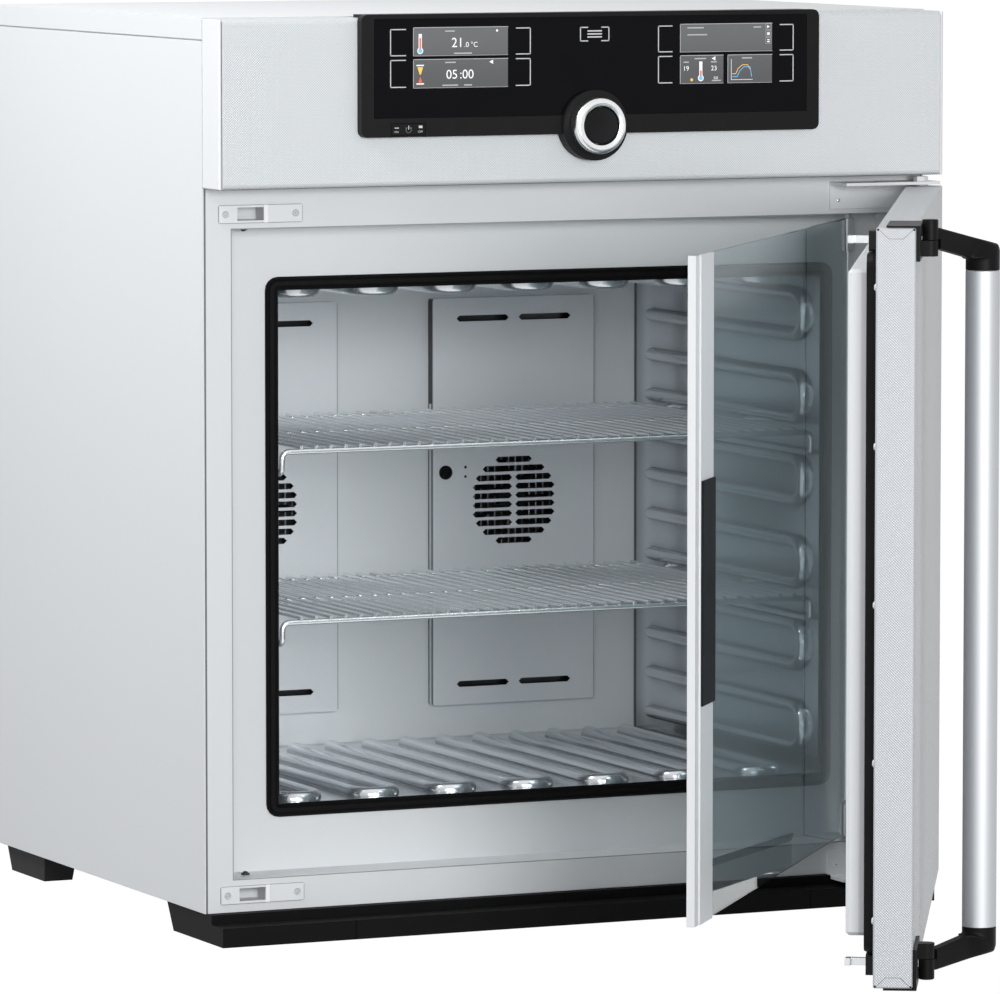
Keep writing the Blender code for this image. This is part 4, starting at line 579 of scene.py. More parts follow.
for sign_name, text, x, z, height in (
    ("heat_number", "21", -0.1448, 0.8262, 0.0090), ("heat_tenths", ".0 °C", -0.1318, 0.8262, 0.0048),
    ("time_hours", "05", -0.1502, 0.7972, 0.0086), ("time_minutes", ":00", -0.1365, 0.7972, 0.0086),
    ("low_limit", "19", 0.0925, 0.8010, 0.0046), ("high_limit", "23", 0.1215, 0.8010, 0.0046),
    ("spread", "0.0", 0.1245, 0.7928, 0.0026),
):
    numbers(sign_name, text, x, z, height, MARK_FACE, "cabinet", white_ink)

brackets = []
for outer, inner in ((-0.2060, -0.1910), (-0.0647, -0.0790), (0.0670, 0.0810), (0.2076, 0.1940)):
    for low, high in ((0.8190, 0.8430), (0.7900, 0.8147)):
        brackets += stroke([(inner, high), (outer, high), (outer, low), (inner, low)], KEY_LINE)
for outer, inner in ((-0.0134, -0.0060), (0.0158, 0.0084)):
    brackets += stroke([(inner, 0.8428), (outer, 0.8428), (outer, 0.8302), (inner, 0.8302)], KEY_LINE)
for z in (0.8338, 0.8366, 0.8394):
    brackets.append(bar(-0.0062, 0.0086, z - 0.0006, z + 0.0006))
on_console("bracket_keys", brackets, MARK_FACE, SCREEN_BACK, glowing_key_ink)


# Knob and power key. The knob is a turned and chromed ring with a brushed face round a black
# push centre; the power key is a small black rocker with the usual ring-and-line sign on it.
KNOB_PLACE = (0.0, -0.07955, 0.752)
FORWARD = (0, -1, 0)
SMALL_BLACK = (0.012, 0.012, 0.013)


def join_all(work, rows):
    for row, after in zip(rows, rows[1:]):
        join_rows(work, row, after)


def ring_corners(work, middle, side, other, radius, steps):
    turns = [2 * math.pi * step / steps for step in range(steps)]
    return [work.verts.new(middle + (side * math.cos(turn) + other * math.sin(turn)) * radius)
            for turn in turns]


def add_turned(work, profile, place, axis, steps):
    """A lathe-turned solid: profile is radius and depth along the axis, from its place."""
    axis = Vector(axis).normalized()
    side = axis.orthogonal().normalized()
    other = axis.cross(side)
    rings = []
    for radius, depth in profile:
        base = Vector(place) + axis * depth
        if radius < 1e-7:
            rings.append([work.verts.new(base)] * steps)
            continue
        rings.append(ring_corners(work, base, side, other, radius, steps))
    join_all(work, rings)


def turned(name, profile, place, axis, steps, body, finish):
    work = bmesh.new()
    add_turned(work, profile, place, axis, steps)
    return finished(work, name, body, finish, 32.0)


knob_chrome = Finish("knob_chrome", (0.80, 0.81, 0.82), 0.16, 1.0)
spin = knob_chrome.node("ShaderNodeVectorMath", {"operation": "DISTANCE"},
                        {0: knob_chrome.spot, 1: KNOB_PLACE}, "Value")
rings = (spin * 9000.0).sine() * 0.5 + 0.5
knob_chrome.feed("Roughness", rings * 0.10 + 0.12)
knob_chrome.feed("Base Color", knob_chrome.tint(0.04, rings))
knob_chrome.relief(rings, 0.000006)
ring_profile = [(0.0, 0.0), (0.0242, 0.0), (0.0258, 0.0004), (0.0265, 0.0014), (0.0265, 0.0092),
                (0.0262, 0.0106), (0.0250, 0.0128), (0.0238, 0.0137), (0.0226, 0.0140),
                (0.0196, 0.0137), (0.0184, 0.0132), (0.0178, 0.0122), (0.0175, 0.0025), (0.0, 0.0025)]
knob_ring = turned("turned_knob_ring", ring_profile, KNOB_PLACE, FORWARD, 128, "knob",
                   knob_chrome)
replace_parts(knob_ring, "knob_ring")

knob_black = moulded_black("knob_black", SMALL_BLACK, 0.40, 0.00001, 0.0)
cap_profile = [(0.0, 0.0043), (0.0172, 0.0043), (0.0172, 0.0112), (0.0168, 0.0122), (0.0158, 0.0128),
               (0.0140, 0.0127), (0.0100, 0.0124), (0.0050, 0.0122), (0.0, 0.0121)]
knob_cap = turned("pressed_knob_cap", cap_profile, KNOB_PLACE, FORWARD, 96, "knob_button",
                  knob_black)
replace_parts(knob_cap, "knob_cap")

key_plastic = moulded_black("key_plastic", CONSOLE_BLACK, 0.40, 0.00002, 0.0003)
key_plastic.dress("power_key")
POWER_X, POWER_Z = -0.1880, 0.7508
POWER_FACE, POWER_BACK, WORD_FACE = -0.07463, -0.07454, -0.07461
POWER_RADIUS, POWER_LINE = 0.0026, 0.0007
RING_GAP = 50
arc_points = []
for step in range(25):
    turn = math.radians(90 + RING_GAP + step * (360 - 2 * RING_GAP) / 24)
    arc_points.append((POWER_X + POWER_RADIUS * math.cos(turn), POWER_Z + POWER_RADIUS * math.sin(turn)))
power_marks = stroke(arc_points, POWER_LINE)
power_marks += stroke([(POWER_X, POWER_Z + 0.0006), (POWER_X, POWER_Z + 0.0036)], POWER_LINE)
power_marks += [bar(-0.2020, -0.1980, 0.7522, 0.7530), bar(-0.1778, -0.1742, 0.7522, 0.7545)]
plates("power_sign", power_marks, POWER_FACE, POWER_BACK, "power_button", glowing_key_ink)
for sign_name, text, x in (("on_word", "ON", -0.2024), ("off_word", "OFF", -0.1785)):
    numbers(sign_name, text, x, 0.7481, 0.0019, WORD_FACE, "power_button", glowing_key_ink)


# Chamber. Deep-drawn stainless liner, annealed bright: four walls with U-shaped shelf ribs pressed
# into them, a flat rear wall, and two screwed covers in front of the fans.
SHEET = 0.0012
RECESS_Y = 0.01975
WALL_BACK = 0.41945
CHAMBER_HALF = 0.280
CHAMBER_LOW, CHAMBER_HIGH = 0.120, 0.600
RIB_PITCH = 0.040
RIB_HALF = 0.00675
RIB_RISE = 0.009
SIDE_RIB_FRONT = RECESS_Y + 0.028
LEVEL_RIB_FRONT = RECESS_Y + 0.012
RIB_END = RECESS_Y + 0.367
LINER_STEEL = (0.80, 0.835, 0.87)
# Painted light: the covers and the rear wall are the liner's stainless, given a brighter colour than the
# liner so that they read lighter than the chamber's light makes them.
COVER_STEEL_LIT = (0.90, 0.94, 0.98)
WALL_STEEL_LIT = (0.91, 0.95, 0.99)
CREVICE_SHADE_REACH = 0.030
CREVICE_SHADE = 0.35
WALL_GAP = 0.0003
LOWEST_RIB = 0.160
LEVEL_MIDDLE = -0.012
STEEL_LINES, STEEL_TINT = 900.0, 0.035
EVEN_BRUSH = (1.0, 1.0, 1.0)


def bright_steel(name, color, roughness, brush, edge=0.0006, metallic=1.0, crevice_shade=0.0):
    """Rolled stainless: fine lines along the rolling direction and slow waves in the sheet, and painted
    shade in its creases when crevice_shade is given.
    """
    steel = Finish(name, color, roughness, metallic)
    lines = steel.noise(STEEL_LINES, 2.0, brush)
    cloud = steel.noise(7.0, 2.0)
    tone = steel.tint(STEEL_TINT, lines * 0.4 + cloud * 0.6)
    # Painted shade: ambient occlusion darkens the colour where other surfaces lie near, in the ribs'
    # creases and the chamber's corners.
    if crevice_shade:
        unshaded_share = steel.node("ShaderNodeAmbientOcclusion", {"samples": 4}, {"Distance": crevice_shade}, "AO")
        tone = steel.blend(tuple(channel * CREVICE_SHADE for channel in color) + (1.0,), tone,
                           unshaded_share * unshaded_share)
    steel.feed("Base Color", tone)
    steel.feed("Roughness", lines * 0.10 + cloud * 0.08 + (roughness - 0.09))
    steel.relief(lines, 0.000003, edge)
    return steel


liner_steel = bright_steel("liner_steel", LINER_STEEL, 0.18, (1.0, 0.5, 1.0), 0.0006, 0.88, CREVICE_SHADE_REACH)

COVER_MIDDLE = 0.14025
COVER_HALF = (0.089, 0.2035)
COVER_LAP = 0.002
COVER_Z = 0.3565
BEHIND_SHADE = (0.006, 0.006, 0.0065, 1.0)
RIB_SECTION = []
for step in range(-9, 10):
    turn = math.radians(90 * step / 9)
    RIB_SECTION.append((RIB_HALF * math.sin(turn), RIB_RISE * math.cos(turn) ** 0.9))


def rib_line(front, end, centre):
    """The middle of one U-shaped rib in along and across, with a close run of points in its bend."""
    radius = RIB_PITCH / 2
    bend = []
    for step in range(25):
        turn = math.radians(90 + 180 * step / 24)
        bend.append((front + radius + radius * math.cos(turn), centre + radius * math.sin(turn)))
    tail = [end - RIB_HALF * 1.4 * part for part in (0.0, 0.12, 0.3, 0.6, 1.0)]
    upper = [(along, centre + radius) for along in tail]
    lower = [(along, centre - radius) for along in tail]
    return upper + bend + lower[::-1]


def ribbed_wall(name, node, corner, far_corner, ribs, spot):
    """A sheet with ribs swept on it; spot turns along, across and height into a place."""
    work = bmesh.new()
    bmesh.ops.create_cube(work, size=1.0)
    for vertex in work.verts:
        for axis in range(3):
            vertex.co[axis] = corner[axis] if vertex.co[axis] < 0 else far_corner[axis]
    for line in ribs:
        rows = []
        count = len(line)
        for index, (along, across) in enumerate(line):
            before, after = line[max(index - 1, 0)], line[min(index + 1, count - 1)]
            run = Vector((after[0] - before[0], after[1] - before[1])).normalized()
            side = Vector((-run.y, run.x))
            from_end = min(index, count - 1 - index)
            share = (0.05, 0.45, 0.72, 0.93, 1.0)[min(from_end, 4)]
            rows.append([work.verts.new(spot(along + side.x * x * share, across + side.y * x * share,
                                             height * share - SHEET * 0.4))
                         for x, height in RIB_SECTION])
        join_all(work, rows)
        work.faces.new(rows[0])
        work.faces.new(rows[-1][::-1])
    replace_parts(finished(work, name, "cabinet", liner_steel, 40.0), node)


side_ribs = [rib_line(SIDE_RIB_FRONT, RIB_END, LOWEST_RIB + 2 * RIB_PITCH * index) for index in range(6)]
level_ribs = [rib_line(LEVEL_RIB_FRONT, RIB_END, LEVEL_MIDDLE + 2 * RIB_PITCH * (index - 3))
              for index in range(7)]
for side, wall in ((-1, "left"), (1, "right")):
    inner, outer = side * CHAMBER_HALF, side * (CHAMBER_HALF + SHEET)
    ribbed_wall(wall + "_ribbed_wall", "chamber_" + wall + "_wall",
                (min(inner, outer), RECESS_Y, CHAMBER_LOW + WALL_GAP),
                (max(inner, outer), WALL_BACK, CHAMBER_HIGH - WALL_GAP), side_ribs,
                lambda along, across, height, side=side: (side * (CHAMBER_HALF - height), along, across))
for inner, toward, wall in ((CHAMBER_LOW, 1, "floor"), (CHAMBER_HIGH, -1, "ceiling")):
    outer = inner - toward * SHEET
    ribbed_wall("ribbed_" + wall, "chamber_" + wall,
                (-CHAMBER_HALF - SHEET, RECESS_Y, min(inner, outer)),
                (CHAMBER_HALF + SHEET, WALL_BACK, max(inner, outer)), level_ribs,
                lambda along, across, height, inner=inner, toward=toward: (
                    across, along, inner + toward * height))

# The covers stand off the rear wall. Their sides are open in the upper part and folded below.
# Painted shade darkens their side slots, folds and rims, and the rear wall behind them and in its corners.
cover_low, cover_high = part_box("right_fan_cover")
SIDE_OPEN_FROM = 0.455
FOLD_HALF, RIM_WIDTH = 0.0024, 0.0008
# Painted light: non-metallic, and brighter than the liner's steel.
cover_painted_light = bright_steel("cover_painted_light", COVER_STEEL_LIT, 0.32, EVEN_BRUSH, 0.0004, 0.0)
side_face = abs(cover_painted_light.facing()[0]).above(0.7)
depth_middle = (cover_low.y + cover_high.y) / 2
fold = abs(cover_painted_light.y - depth_middle).above(FOLD_HALF)
slot_shade = side_face * fold.most(cover_painted_light.z.above(SIDE_OPEN_FROM))
rim = abs(abs(cover_painted_light.x) - COVER_MIDDLE).above((cover_high.x - cover_low.x) / 2 - RIM_WIDTH)
rim_shade = rim * (1.0 - side_face) * 0.55
cover_tone = cover_painted_light.tint(STEEL_TINT, cover_painted_light.noise(STEEL_LINES, 2.0))
cover_painted_light.feed("Base Color", cover_painted_light.blend(cover_tone, BEHIND_SHADE, slot_shade.most(rim_shade)))
cover_painted_light.dress("left_fan_cover", "right_fan_cover")

# Painted light: non-metallic, and brighter than the liner's steel.
wall_painted_light = bright_steel("wall_painted_light", WALL_STEEL_LIT, 0.32, EVEN_BRUSH, 0.0004, 0.0)
# Painted shade: a dark line on the rear wall along its corners with the side walls.
corner_shade = abs(wall_painted_light.x).above(CHAMBER_HALF - 0.0014)
beside = abs(abs(wall_painted_light.x) - COVER_MIDDLE).below(COVER_HALF[0] - COVER_LAP)
within = abs(wall_painted_light.z - COVER_Z).below(COVER_HALF[1] - COVER_LAP)
wall_tone = wall_painted_light.tint(STEEL_TINT, wall_painted_light.noise(STEEL_LINES, 2.0))
wall_shade = (beside * within).most(corner_shade * 0.8)
wall_painted_light.feed("Base Color", wall_painted_light.blend(wall_tone, BEHIND_SHADE, wall_shade))
wall_painted_light.dress("chamber_rear_wall")

port_rim = moulded_black("port_rim", SMALL_BLACK, 0.4, 0.00001, 0.0)
port_profile = [(0.0, 0.0010), (0.0042, 0.0010), (0.0046, 0.0022), (0.0062, 0.0024), (0.0070, 0.0014),
                (0.0070, 0.0), (0.0, 0.0)]
turned("probe_port", port_profile, (0.0655, cover_low.y, 0.3863), FORWARD, 64, "cabinet",
       port_rim)
for pin_name, z in (("upper_cover_pin", 0.3910), ("lower_cover_pin", 0.3816)):
    turned(pin_name, [(0.0, 0.0007), (0.0010, 0.0006), (0.0014, 0.0), (0.0, 0.0)],
           (0.0874, cover_low.y, z), FORWARD, 24, "cabinet", port_rim)

# Painted shade: the heat sinks are given a dark colour for the shade they sit in behind the cover slots.
shaded_sink_metal = bright_steel("shaded_sink_metal", (0.30, 0.31, 0.32), 0.42, (1.0, 1.0, 0.05), 0.0)
shaded_sink_metal.dress("left_heat_sink", "right_heat_sink", "outer_heat_sink")
rotor_black = moulded_black("rotor_black", SMALL_BLACK, 0.45, 0.00002, 0.0006)
rotor_black.dress("left_fan_rotor", "right_fan_rotor", "left_rear_fan_rotor", "right_rear_fan_rotor")


# Chamber gasket. Black silicone profile with two lips, pressed round the chamber's mouth. The
# insulation behind the liner is foamed-in polyurethane, which shows a cut, open skin.
def rubber(name, color=(0.005, 0.005, 0.0055), roughness=0.55):
    black = Finish(name, color, roughness, IOR=1.42, Specular_IOR_Level=0.10)
    grain = black.noise(1900.0, 2.0)
    bloom = black.noise(30.0, 3.0)
    black.feed("Base Color", black.tint(0.30, bloom))
    black.feed("Roughness", grain * 0.12 + (roughness - 0.06))
    black.relief(grain, 0.00002, 0.0012)
    return black


seal_rubber = rubber("seal_rubber")
seal_rubber.dress("chamber_gasket")
foam = Finish("cut_foam", (0.78, 0.69, 0.48), 0.9)
cells = foam.node("ShaderNodeTexVoronoi", {"feature": "F1"},
                  {"Vector": foam.spot, "Scale": 900.0}, "Distance")
foam.feed("Base Color", foam.tint(0.10, cells))
foam.relief(cells, 0.0004)
foam.dress("insulation")


# Shelves. Stainless wire, welded and electropolished: a frame and arches of 5.6 mm wire, with
# 3.5 mm rods every 15 mm on top, which run from front to back.
FRAME_WIRE = 0.0028
ROD_WIRE = 0.00175
SHELF_HALF = 0.2737
SHELF_FRONT = RECESS_Y + 0.0045
SHELF_DROP = 0.0204
SHELF_BACK = SHELF_FRONT + 0.352
ROD_PITCH = 0.015
ROD_INSET, ROD_SINK = 0.0165, 0.0008
WIRE_BEND = 0.008
RAIL_SEAT = 0.0082


def rounded(points, radius, steps=6):
    """A line of points with its inner corners turned by that radius."""
    made = [Vector(points[0])]
    for before, corner, after in zip(points, points[1:], points[2:]):
        before, corner, after = Vector(before), Vector(corner), Vector(after)
        reach = min(radius, (before - corner).length / 2, (after - corner).length / 2)
        start = corner + (before - corner).normalized() * reach
        end = corner + (after - corner).normalized() * reach
        for step in range(steps + 1):
            share = step / steps
            made.append(start * (1 - share) ** 2 + corner * 2 * share * (1 - share) + end * share ** 2)
    made.append(Vector(points[-1]))
    return made


def add_wire(work, points, radius, sides):
    """A round wire with closed ends along the points."""
    rings = []
    side = None
    for index, point in enumerate(points):
        before, after = points[max(index - 1, 0)], points[min(index + 1, len(points) - 1)]
        run = (Vector(after) - Vector(before)).normalized()
        if side is None:
            side = run.orthogonal().normalized()
        side = (side - run * side.dot(run)).normalized()
        rings.append(ring_corners(work, Vector(point), side, run.cross(side), radius, sides))
    join_all(work, rings)
    work.faces.new(rings[0][::-1])
    work.faces.new(rings[-1])


wire_steel = bright_steel("wire_steel", (0.84, 0.86, 0.88), 0.20, EVEN_BRUSH, 0.0, 0.8)


def wire_shelf(name, node, body, rail_z):
    grid_z = rail_z + SHELF_DROP
    work = bmesh.new()
    front, back, half = SHELF_FRONT, SHELF_BACK, SHELF_HALF
    rim = [(-half, back, rail_z), (-half, front, rail_z), (-half, front, grid_z), (half, front, grid_z),
           (half, front, rail_z), (half, back, rail_z)]
    add_wire(work, rounded(rim, WIRE_BEND), FRAME_WIRE, 16)
    for y in ((front + back) / 2, back - 0.010):
        arch = [(-half, y, rail_z), (-half, y, grid_z), (half, y, grid_z), (half, y, rail_z)]
        add_wire(work, rounded(arch, WIRE_BEND), FRAME_WIRE, 16)
    rod_z = grid_z + FRAME_WIRE + ROD_WIRE - ROD_SINK
    reach = half - ROD_INSET
    count = int(2 * reach / ROD_PITCH) + 1
    for index in range(count):
        x = ROD_PITCH * (index - (count - 1) / 2)
        add_wire(work, [(x, front - FRAME_WIRE, rod_z), (x, back, rod_z)], ROD_WIRE, 12)
    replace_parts(finished(work, name, body, wire_steel, 50.0), node)


for shelf, body, rib in (("upper_shelf", "top_shelf", 3), ("lower_shelf", "bottom_shelf", 1)):
    wire_shelf(shelf + "_wires", shelf, body, LOWEST_RIB + 2 * RIB_PITCH * (rib + 0.25) + RAIL_SEAT)


# Frame fittings. The strike plates and the outer hinge plates are steel coated white like the
# frame and screwed to it; each strike has a moulded pocket behind its slot. The catches are dark.
FITTING_WHITE = (0.78, 0.80, 0.82)
fitting_coat = powder_coat("fitting_coat", FITTING_WHITE, 0.30, 0.000015)
fitting_coat.dress("upper_hinge_plate", "lower_hinge_plate")
STRIKE_CENTRE = (-0.315, 0.3585)
STRIKE_APART = 0.3155
STRIKE_HALF = (0.042, 0.0085)
STRIKE_RIM = 0.0006
STRIKE_ROWS = (("upper", 0.674), ("lower", 0.043))
strike_coat = powder_coat("strike_coat", FITTING_WHITE, 0.30, 0.000015)
# Painted shade: the strike plates darken in a thin band along their edges, where the shadow gaps round
# them fall.
across_edge_shade = abs(strike_coat.x - STRIKE_CENTRE[0]).above(STRIKE_HALF[0] - STRIKE_RIM)
level_edge_shade = abs(abs(strike_coat.z - STRIKE_CENTRE[1]) - STRIKE_APART).above(STRIKE_HALF[1] - STRIKE_RIM)
strike_coat.feed("Base Color", strike_coat.blend(strike_coat.tone, SEAM_SHADE,
                                                 across_edge_shade.most(level_edge_shade) * 0.55))
strike_coat.dress("upper_strike_plate", "lower_strike_plate")
catch_steel = Finish("catch_steel", (0.030, 0.031, 0.033), 0.30, 0.4)
catch_scuff = catch_steel.noise(600.0, 3.0)
catch_steel.feed("Roughness", catch_scuff * 0.16 + 0.22)
catch_steel.feed("Base Color", catch_steel.tint(0.30, catch_scuff))
catch_steel.relief(catch_scuff, 0.000005, 0.0003)
catch_steel.dress("upper_ball_catch", "lower_ball_catch")
screw_metal = bright_steel("screw_metal", (0.72, 0.73, 0.75), 0.26, EVEN_BRUSH, 0.0)


def add_screw(work, place, axis, radius, rise, slot_turn):
    """A low domed head with a cross recess, standing from its place along the axis."""
    axis = Vector(axis).normalized()
    side = axis.orthogonal().normalized()
    other = axis.cross(side)
    steps, shells = 32, 8
    rings = []
    for shell in range(shells + 1):
        share = shell / shells
        ring = []
        for step in range(steps):
            turn = 2 * math.pi * step / steps
            across, up = radius * share * math.cos(turn), radius * share * math.sin(turn)
            u = across * math.cos(slot_turn) + up * math.sin(slot_turn)
            v = up * math.cos(slot_turn) - across * math.sin(slot_turn)
            height = rise * math.sqrt(max(0.0, 1.0 - 0.96 * share ** 2))
            if share < 0.62 and min(abs(u), abs(v)) < radius * 0.13:
                height -= rise * 0.75
            ring.append(work.verts.new(Vector(place) + side * across + other * up + axis * height))
            if shell == 0:
                ring = [ring[0]] * steps
                break
        rings.append(ring)
    foot = [work.verts.new(Vector(vertex.co) - axis * (rise * 0.25)) for vertex in rings[-1]]
    rings.append(foot)
    join_all(work, rings)
    work.faces.new(foot[::-1])


def screws(name, places, axis, radius, rise, body, finish):
    work = bmesh.new()
    for index, place in enumerate(places):
        add_screw(work, place, axis, radius, rise, 0.3 + 0.8 * index)
    finished(work, name, body, finish, 35.0)


strike_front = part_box("upper_strike_plate")[0].y
STRIKE_SCREW = [(0.0, 0.0005), (0.0007, 0.0005), (0.0011, 0.0001), (0.0026, 0.0001), (0.0029, 0.0005),
                (0.0033, 0.0005), (0.0035, 0.0), (0.0, 0.0)]
strike_screw = powder_coat("strike_screw", (0.66, 0.68, 0.70), 0.28, 0.00001)
# Painted light: the strike lip shares the fittings' white coat but is given a brighter colour for the
# light it catches.
lit_lip_white = powder_coat("lit_lip_white", (0.95, 0.96, 0.97), 0.30, 0.00001)
for side, z in STRIKE_ROWS:
    for end, x in (("left", -0.350), ("right", -0.280)):
        turned(side + "_" + end + "_strike_screw", STRIKE_SCREW, (x, strike_front, z), FORWARD, 40,
               "cabinet", strike_screw)

POCKET_SPAN = (-0.3448, -0.3112)
POCKET_RISE = 0.0064
POCKET_DEPTH = (-0.0222, -0.0045)
POCKET_WALL = 0.0005
LIP_SPAN = (-0.3118, -0.3078)
LIP_HALF, LIP_RISE = 0.0082, 0.0004


def open_box(name, low, high, wall, body, finish):
    """A box open at the front, its walls of even thickness."""
    work = bmesh.new()
    shells = []
    for inset in (0.0, wall):
        front, back = low[1], high[1] - inset
        corners = [(low[0] + inset, low[2] + inset), (high[0] - inset, low[2] + inset),
                   (high[0] - inset, high[2] - inset), (low[0] + inset, high[2] - inset)]
        shells.append(([work.verts.new((x, front, z)) for x, z in corners],
                       [work.verts.new((x, back, z)) for x, z in corners]))
    for front, back in shells:
        work.faces.new(back)
        join_rows(work, front, back)
    join_rows(work, shells[0][0], shells[1][0])
    finished(work, name, body, finish)


pocket_plastic = powder_coat("pocket_plastic", (0.62, 0.64, 0.66), 0.45, 0.00001)
for side, z in STRIKE_ROWS:
    open_box(side + "_latch_pocket",
             (POCKET_SPAN[0], POCKET_DEPTH[0], z - POCKET_RISE),
             (POCKET_SPAN[1], POCKET_DEPTH[1], z + POCKET_RISE),
             POCKET_WALL, "cabinet", pocket_plastic)
    plates(side + "_strike_lip", [bar(*LIP_SPAN, z - LIP_HALF, z + LIP_HALF)],
           strike_front - LIP_RISE, strike_front, "cabinet", lit_lip_white)

HINGE_FRONT = -0.02555
for side, z in (("upper", 0.6735), ("lower", 0.0345)):
    screws(side + "_hinge_screws", [(0.281, HINGE_FRONT, z)], FORWARD, 0.0016, 0.0004, "cabinet",
           screw_metal)


# Glass door. A 5 mm float pane with a pale clipped edge strip and a black finger pull on it, hung
# on two small white clips.
pane_glass = Finish("pane_glass", (0.56, 0.66, 0.68), 0.0, IOR=1.5, Transmission_Weight=1.0)
ripple = pane_glass.noise(9.0, 1.0)
pane_glass.relief(ripple, 0.00004)
pane_glass.feed("Base Color", pane_glass.tint(0.02, ripple))
pane_glass.dress("glass_pane")
strip_coat = powder_coat("strip_coat", (0.70, 0.72, 0.74), 0.40, 0.00002)
strip_coat.dress("glass_edge_strip")
pull_plastic = moulded_black("pull_plastic", (0.016, 0.016, 0.017), 0.45)
pull_plastic.dress("glass_pull")
CLIP_WHITE = (0.80, 0.82, 0.84)
clip_plastic = powder_coat("clip_plastic", CLIP_WHITE, 0.35, 0.00002)
clip_plastic.dress("upper_glass_hinge", "lower_glass_hinge")


# Outer door. A shell of the linen sheet folded round foam, a white inner panel, a black lip
# gasket, dark housings for the two latch hooks, and black plates over its free corners. The skin
# is folded over the free edge, where its seams and corner holes show at both ends.
OPEN_TURN = math.radians(60.4)
ALONG = (math.cos(OPEN_TURN), math.sin(OPEN_TURN), 0.0)
OUTWARD = (math.sin(OPEN_TURN), -math.cos(OPEN_TURN), 0.0)
HINGE_PIVOT = Vector((0.358, -0.04725, 0.0))

# Painted shade: the door's skin is the fascia's linen sheet, given a darker colour for the shade on its
# outer face.
shaded_door_sheet = linen_sheet("shaded_door_sheet", ALONG, OUTWARD, (0, 0, 1), 0.36, (0.47, 0.49, 0.515))
shaded_door_sheet.dress("door_shell")
inner_coat = powder_coat("inner_coat", (0.735, 0.755, 0.775), 0.38, 0.00002)
inner_coat.dress("door_inner_panel")
lip_rubber = rubber("lip_rubber", (0.010, 0.010, 0.011), 0.5)
lip_rubber.dress("door_gasket")
housing_plastic = moulded_black("housing_plastic", (0.026, 0.027, 0.028), 0.45)
housing_plastic.dress("upper_hook_housing", "lower_hook_housing")
corner_plastic = moulded_black("corner_plastic", (0.008, 0.008, 0.0085), 0.42)
corner_plastic.dress("upper_corner_plate", "lower_corner_plate")


def door_spot(x, y, z):
    """Where a place on the closed door stands with the door open as photographed."""
    x, y = x - HINGE_PIVOT.x, y - HINGE_PIVOT.y
    return (HINGE_PIVOT.x + x * math.cos(OPEN_TURN) - y * math.sin(OPEN_TURN),
            HINGE_PIVOT.y + x * math.sin(OPEN_TURN) + y * math.cos(OPEN_TURN), z)


# Dark joints along the folds; the dark discs for the corner holes are painted shade.
seam_and_hole_shade = moulded_black("seam_and_hole_shade", (0.020, 0.020, 0.021), 0.6, 0.00001, 0.0)
EDGE_X = -0.3725
EDGE_FRONT, EDGE_BACK = -0.06755, -0.03305
SEAM = 0.0003
MARK_RISE = 0.00008
HOLE_RADIUS = 0.0010


def edge_marks(name, end, toward):
    """Dark fold lines and corner holes on the door's free edge, near one end of it; the dark of the holes
    is painted shade.
    """
    fold, turn_in, hole = [end - toward * inset for inset in (0.002, 0.0095, 0.0016)]
    outlines = stroke([(EDGE_FRONT + 0.003, fold), (EDGE_FRONT + 0.011, turn_in),
                       (EDGE_BACK - 0.011, turn_in), (EDGE_BACK - 0.003, fold)], SEAM)
    outlines += [disc(depth, hole, HOLE_RADIUS, 16) for depth in (EDGE_FRONT + 0.0018, EDGE_BACK - 0.0018)]
    plates(name, outlines, EDGE_X - MARK_RISE, EDGE_X, "outer_door", seam_and_hole_shade,
           door_spot)


edge_marks("upper_edge_seam", 0.6869, 1)
edge_marks("lower_edge_seam", 0.0275, -1)

dome_white = powder_coat("dome_white", CLIP_WHITE, 0.30, 0.00001)
DOME_X, DOME_MIDDLE, DOME_PITCH = -0.362, 0.360, 0.1375
screws("door_dome_screws",
       [door_spot(DOME_X, EDGE_BACK, DOME_MIDDLE + DOME_PITCH * step) for step in range(-2, 3)],
       (-OUTWARD[0], -OUTWARD[1], 0.0), 0.0034, 0.0020, "outer_door", dome_white)


# Handle. A satin tube between two cranked black arms, which turn on hubs at the door's free edge
# and carry the two latch hooks.
tube_low, tube_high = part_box("handle_tube")
tube_place = (tube_low + tube_high) / 2
tube_metal = Finish("tube_metal", (0.50, 0.52, 0.54), 0.40, 0.75)
tube_lines = tube_metal.noise(1500.0, 2.0, (1.0, 1.0, 0.02))
tube_metal.feed("Base Color", tube_metal.tint(0.03, tube_lines))
tube_metal.feed("Roughness", tube_lines * 0.14 + 0.46)
tube_metal.relief(tube_lines, 0.000006)
tube_length = tube_high.z - tube_low.z
tube_profile = [(0.0, 0.0), (0.0144, 0.0), (0.0150, 0.0006), (0.0150, tube_length - 0.0006),
                (0.0144, tube_length), (0.0, tube_length)]
grip = turned("satin_grip", tube_profile, (tube_place.x, tube_place.y, tube_low.z), (0, 0, 1), 96,
              "handle", tube_metal)
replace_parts(grip, "handle_tube")
arm_plastic = moulded_black("arm_plastic", (0.006, 0.006, 0.0065), 0.42, 0.00003, 0.0)

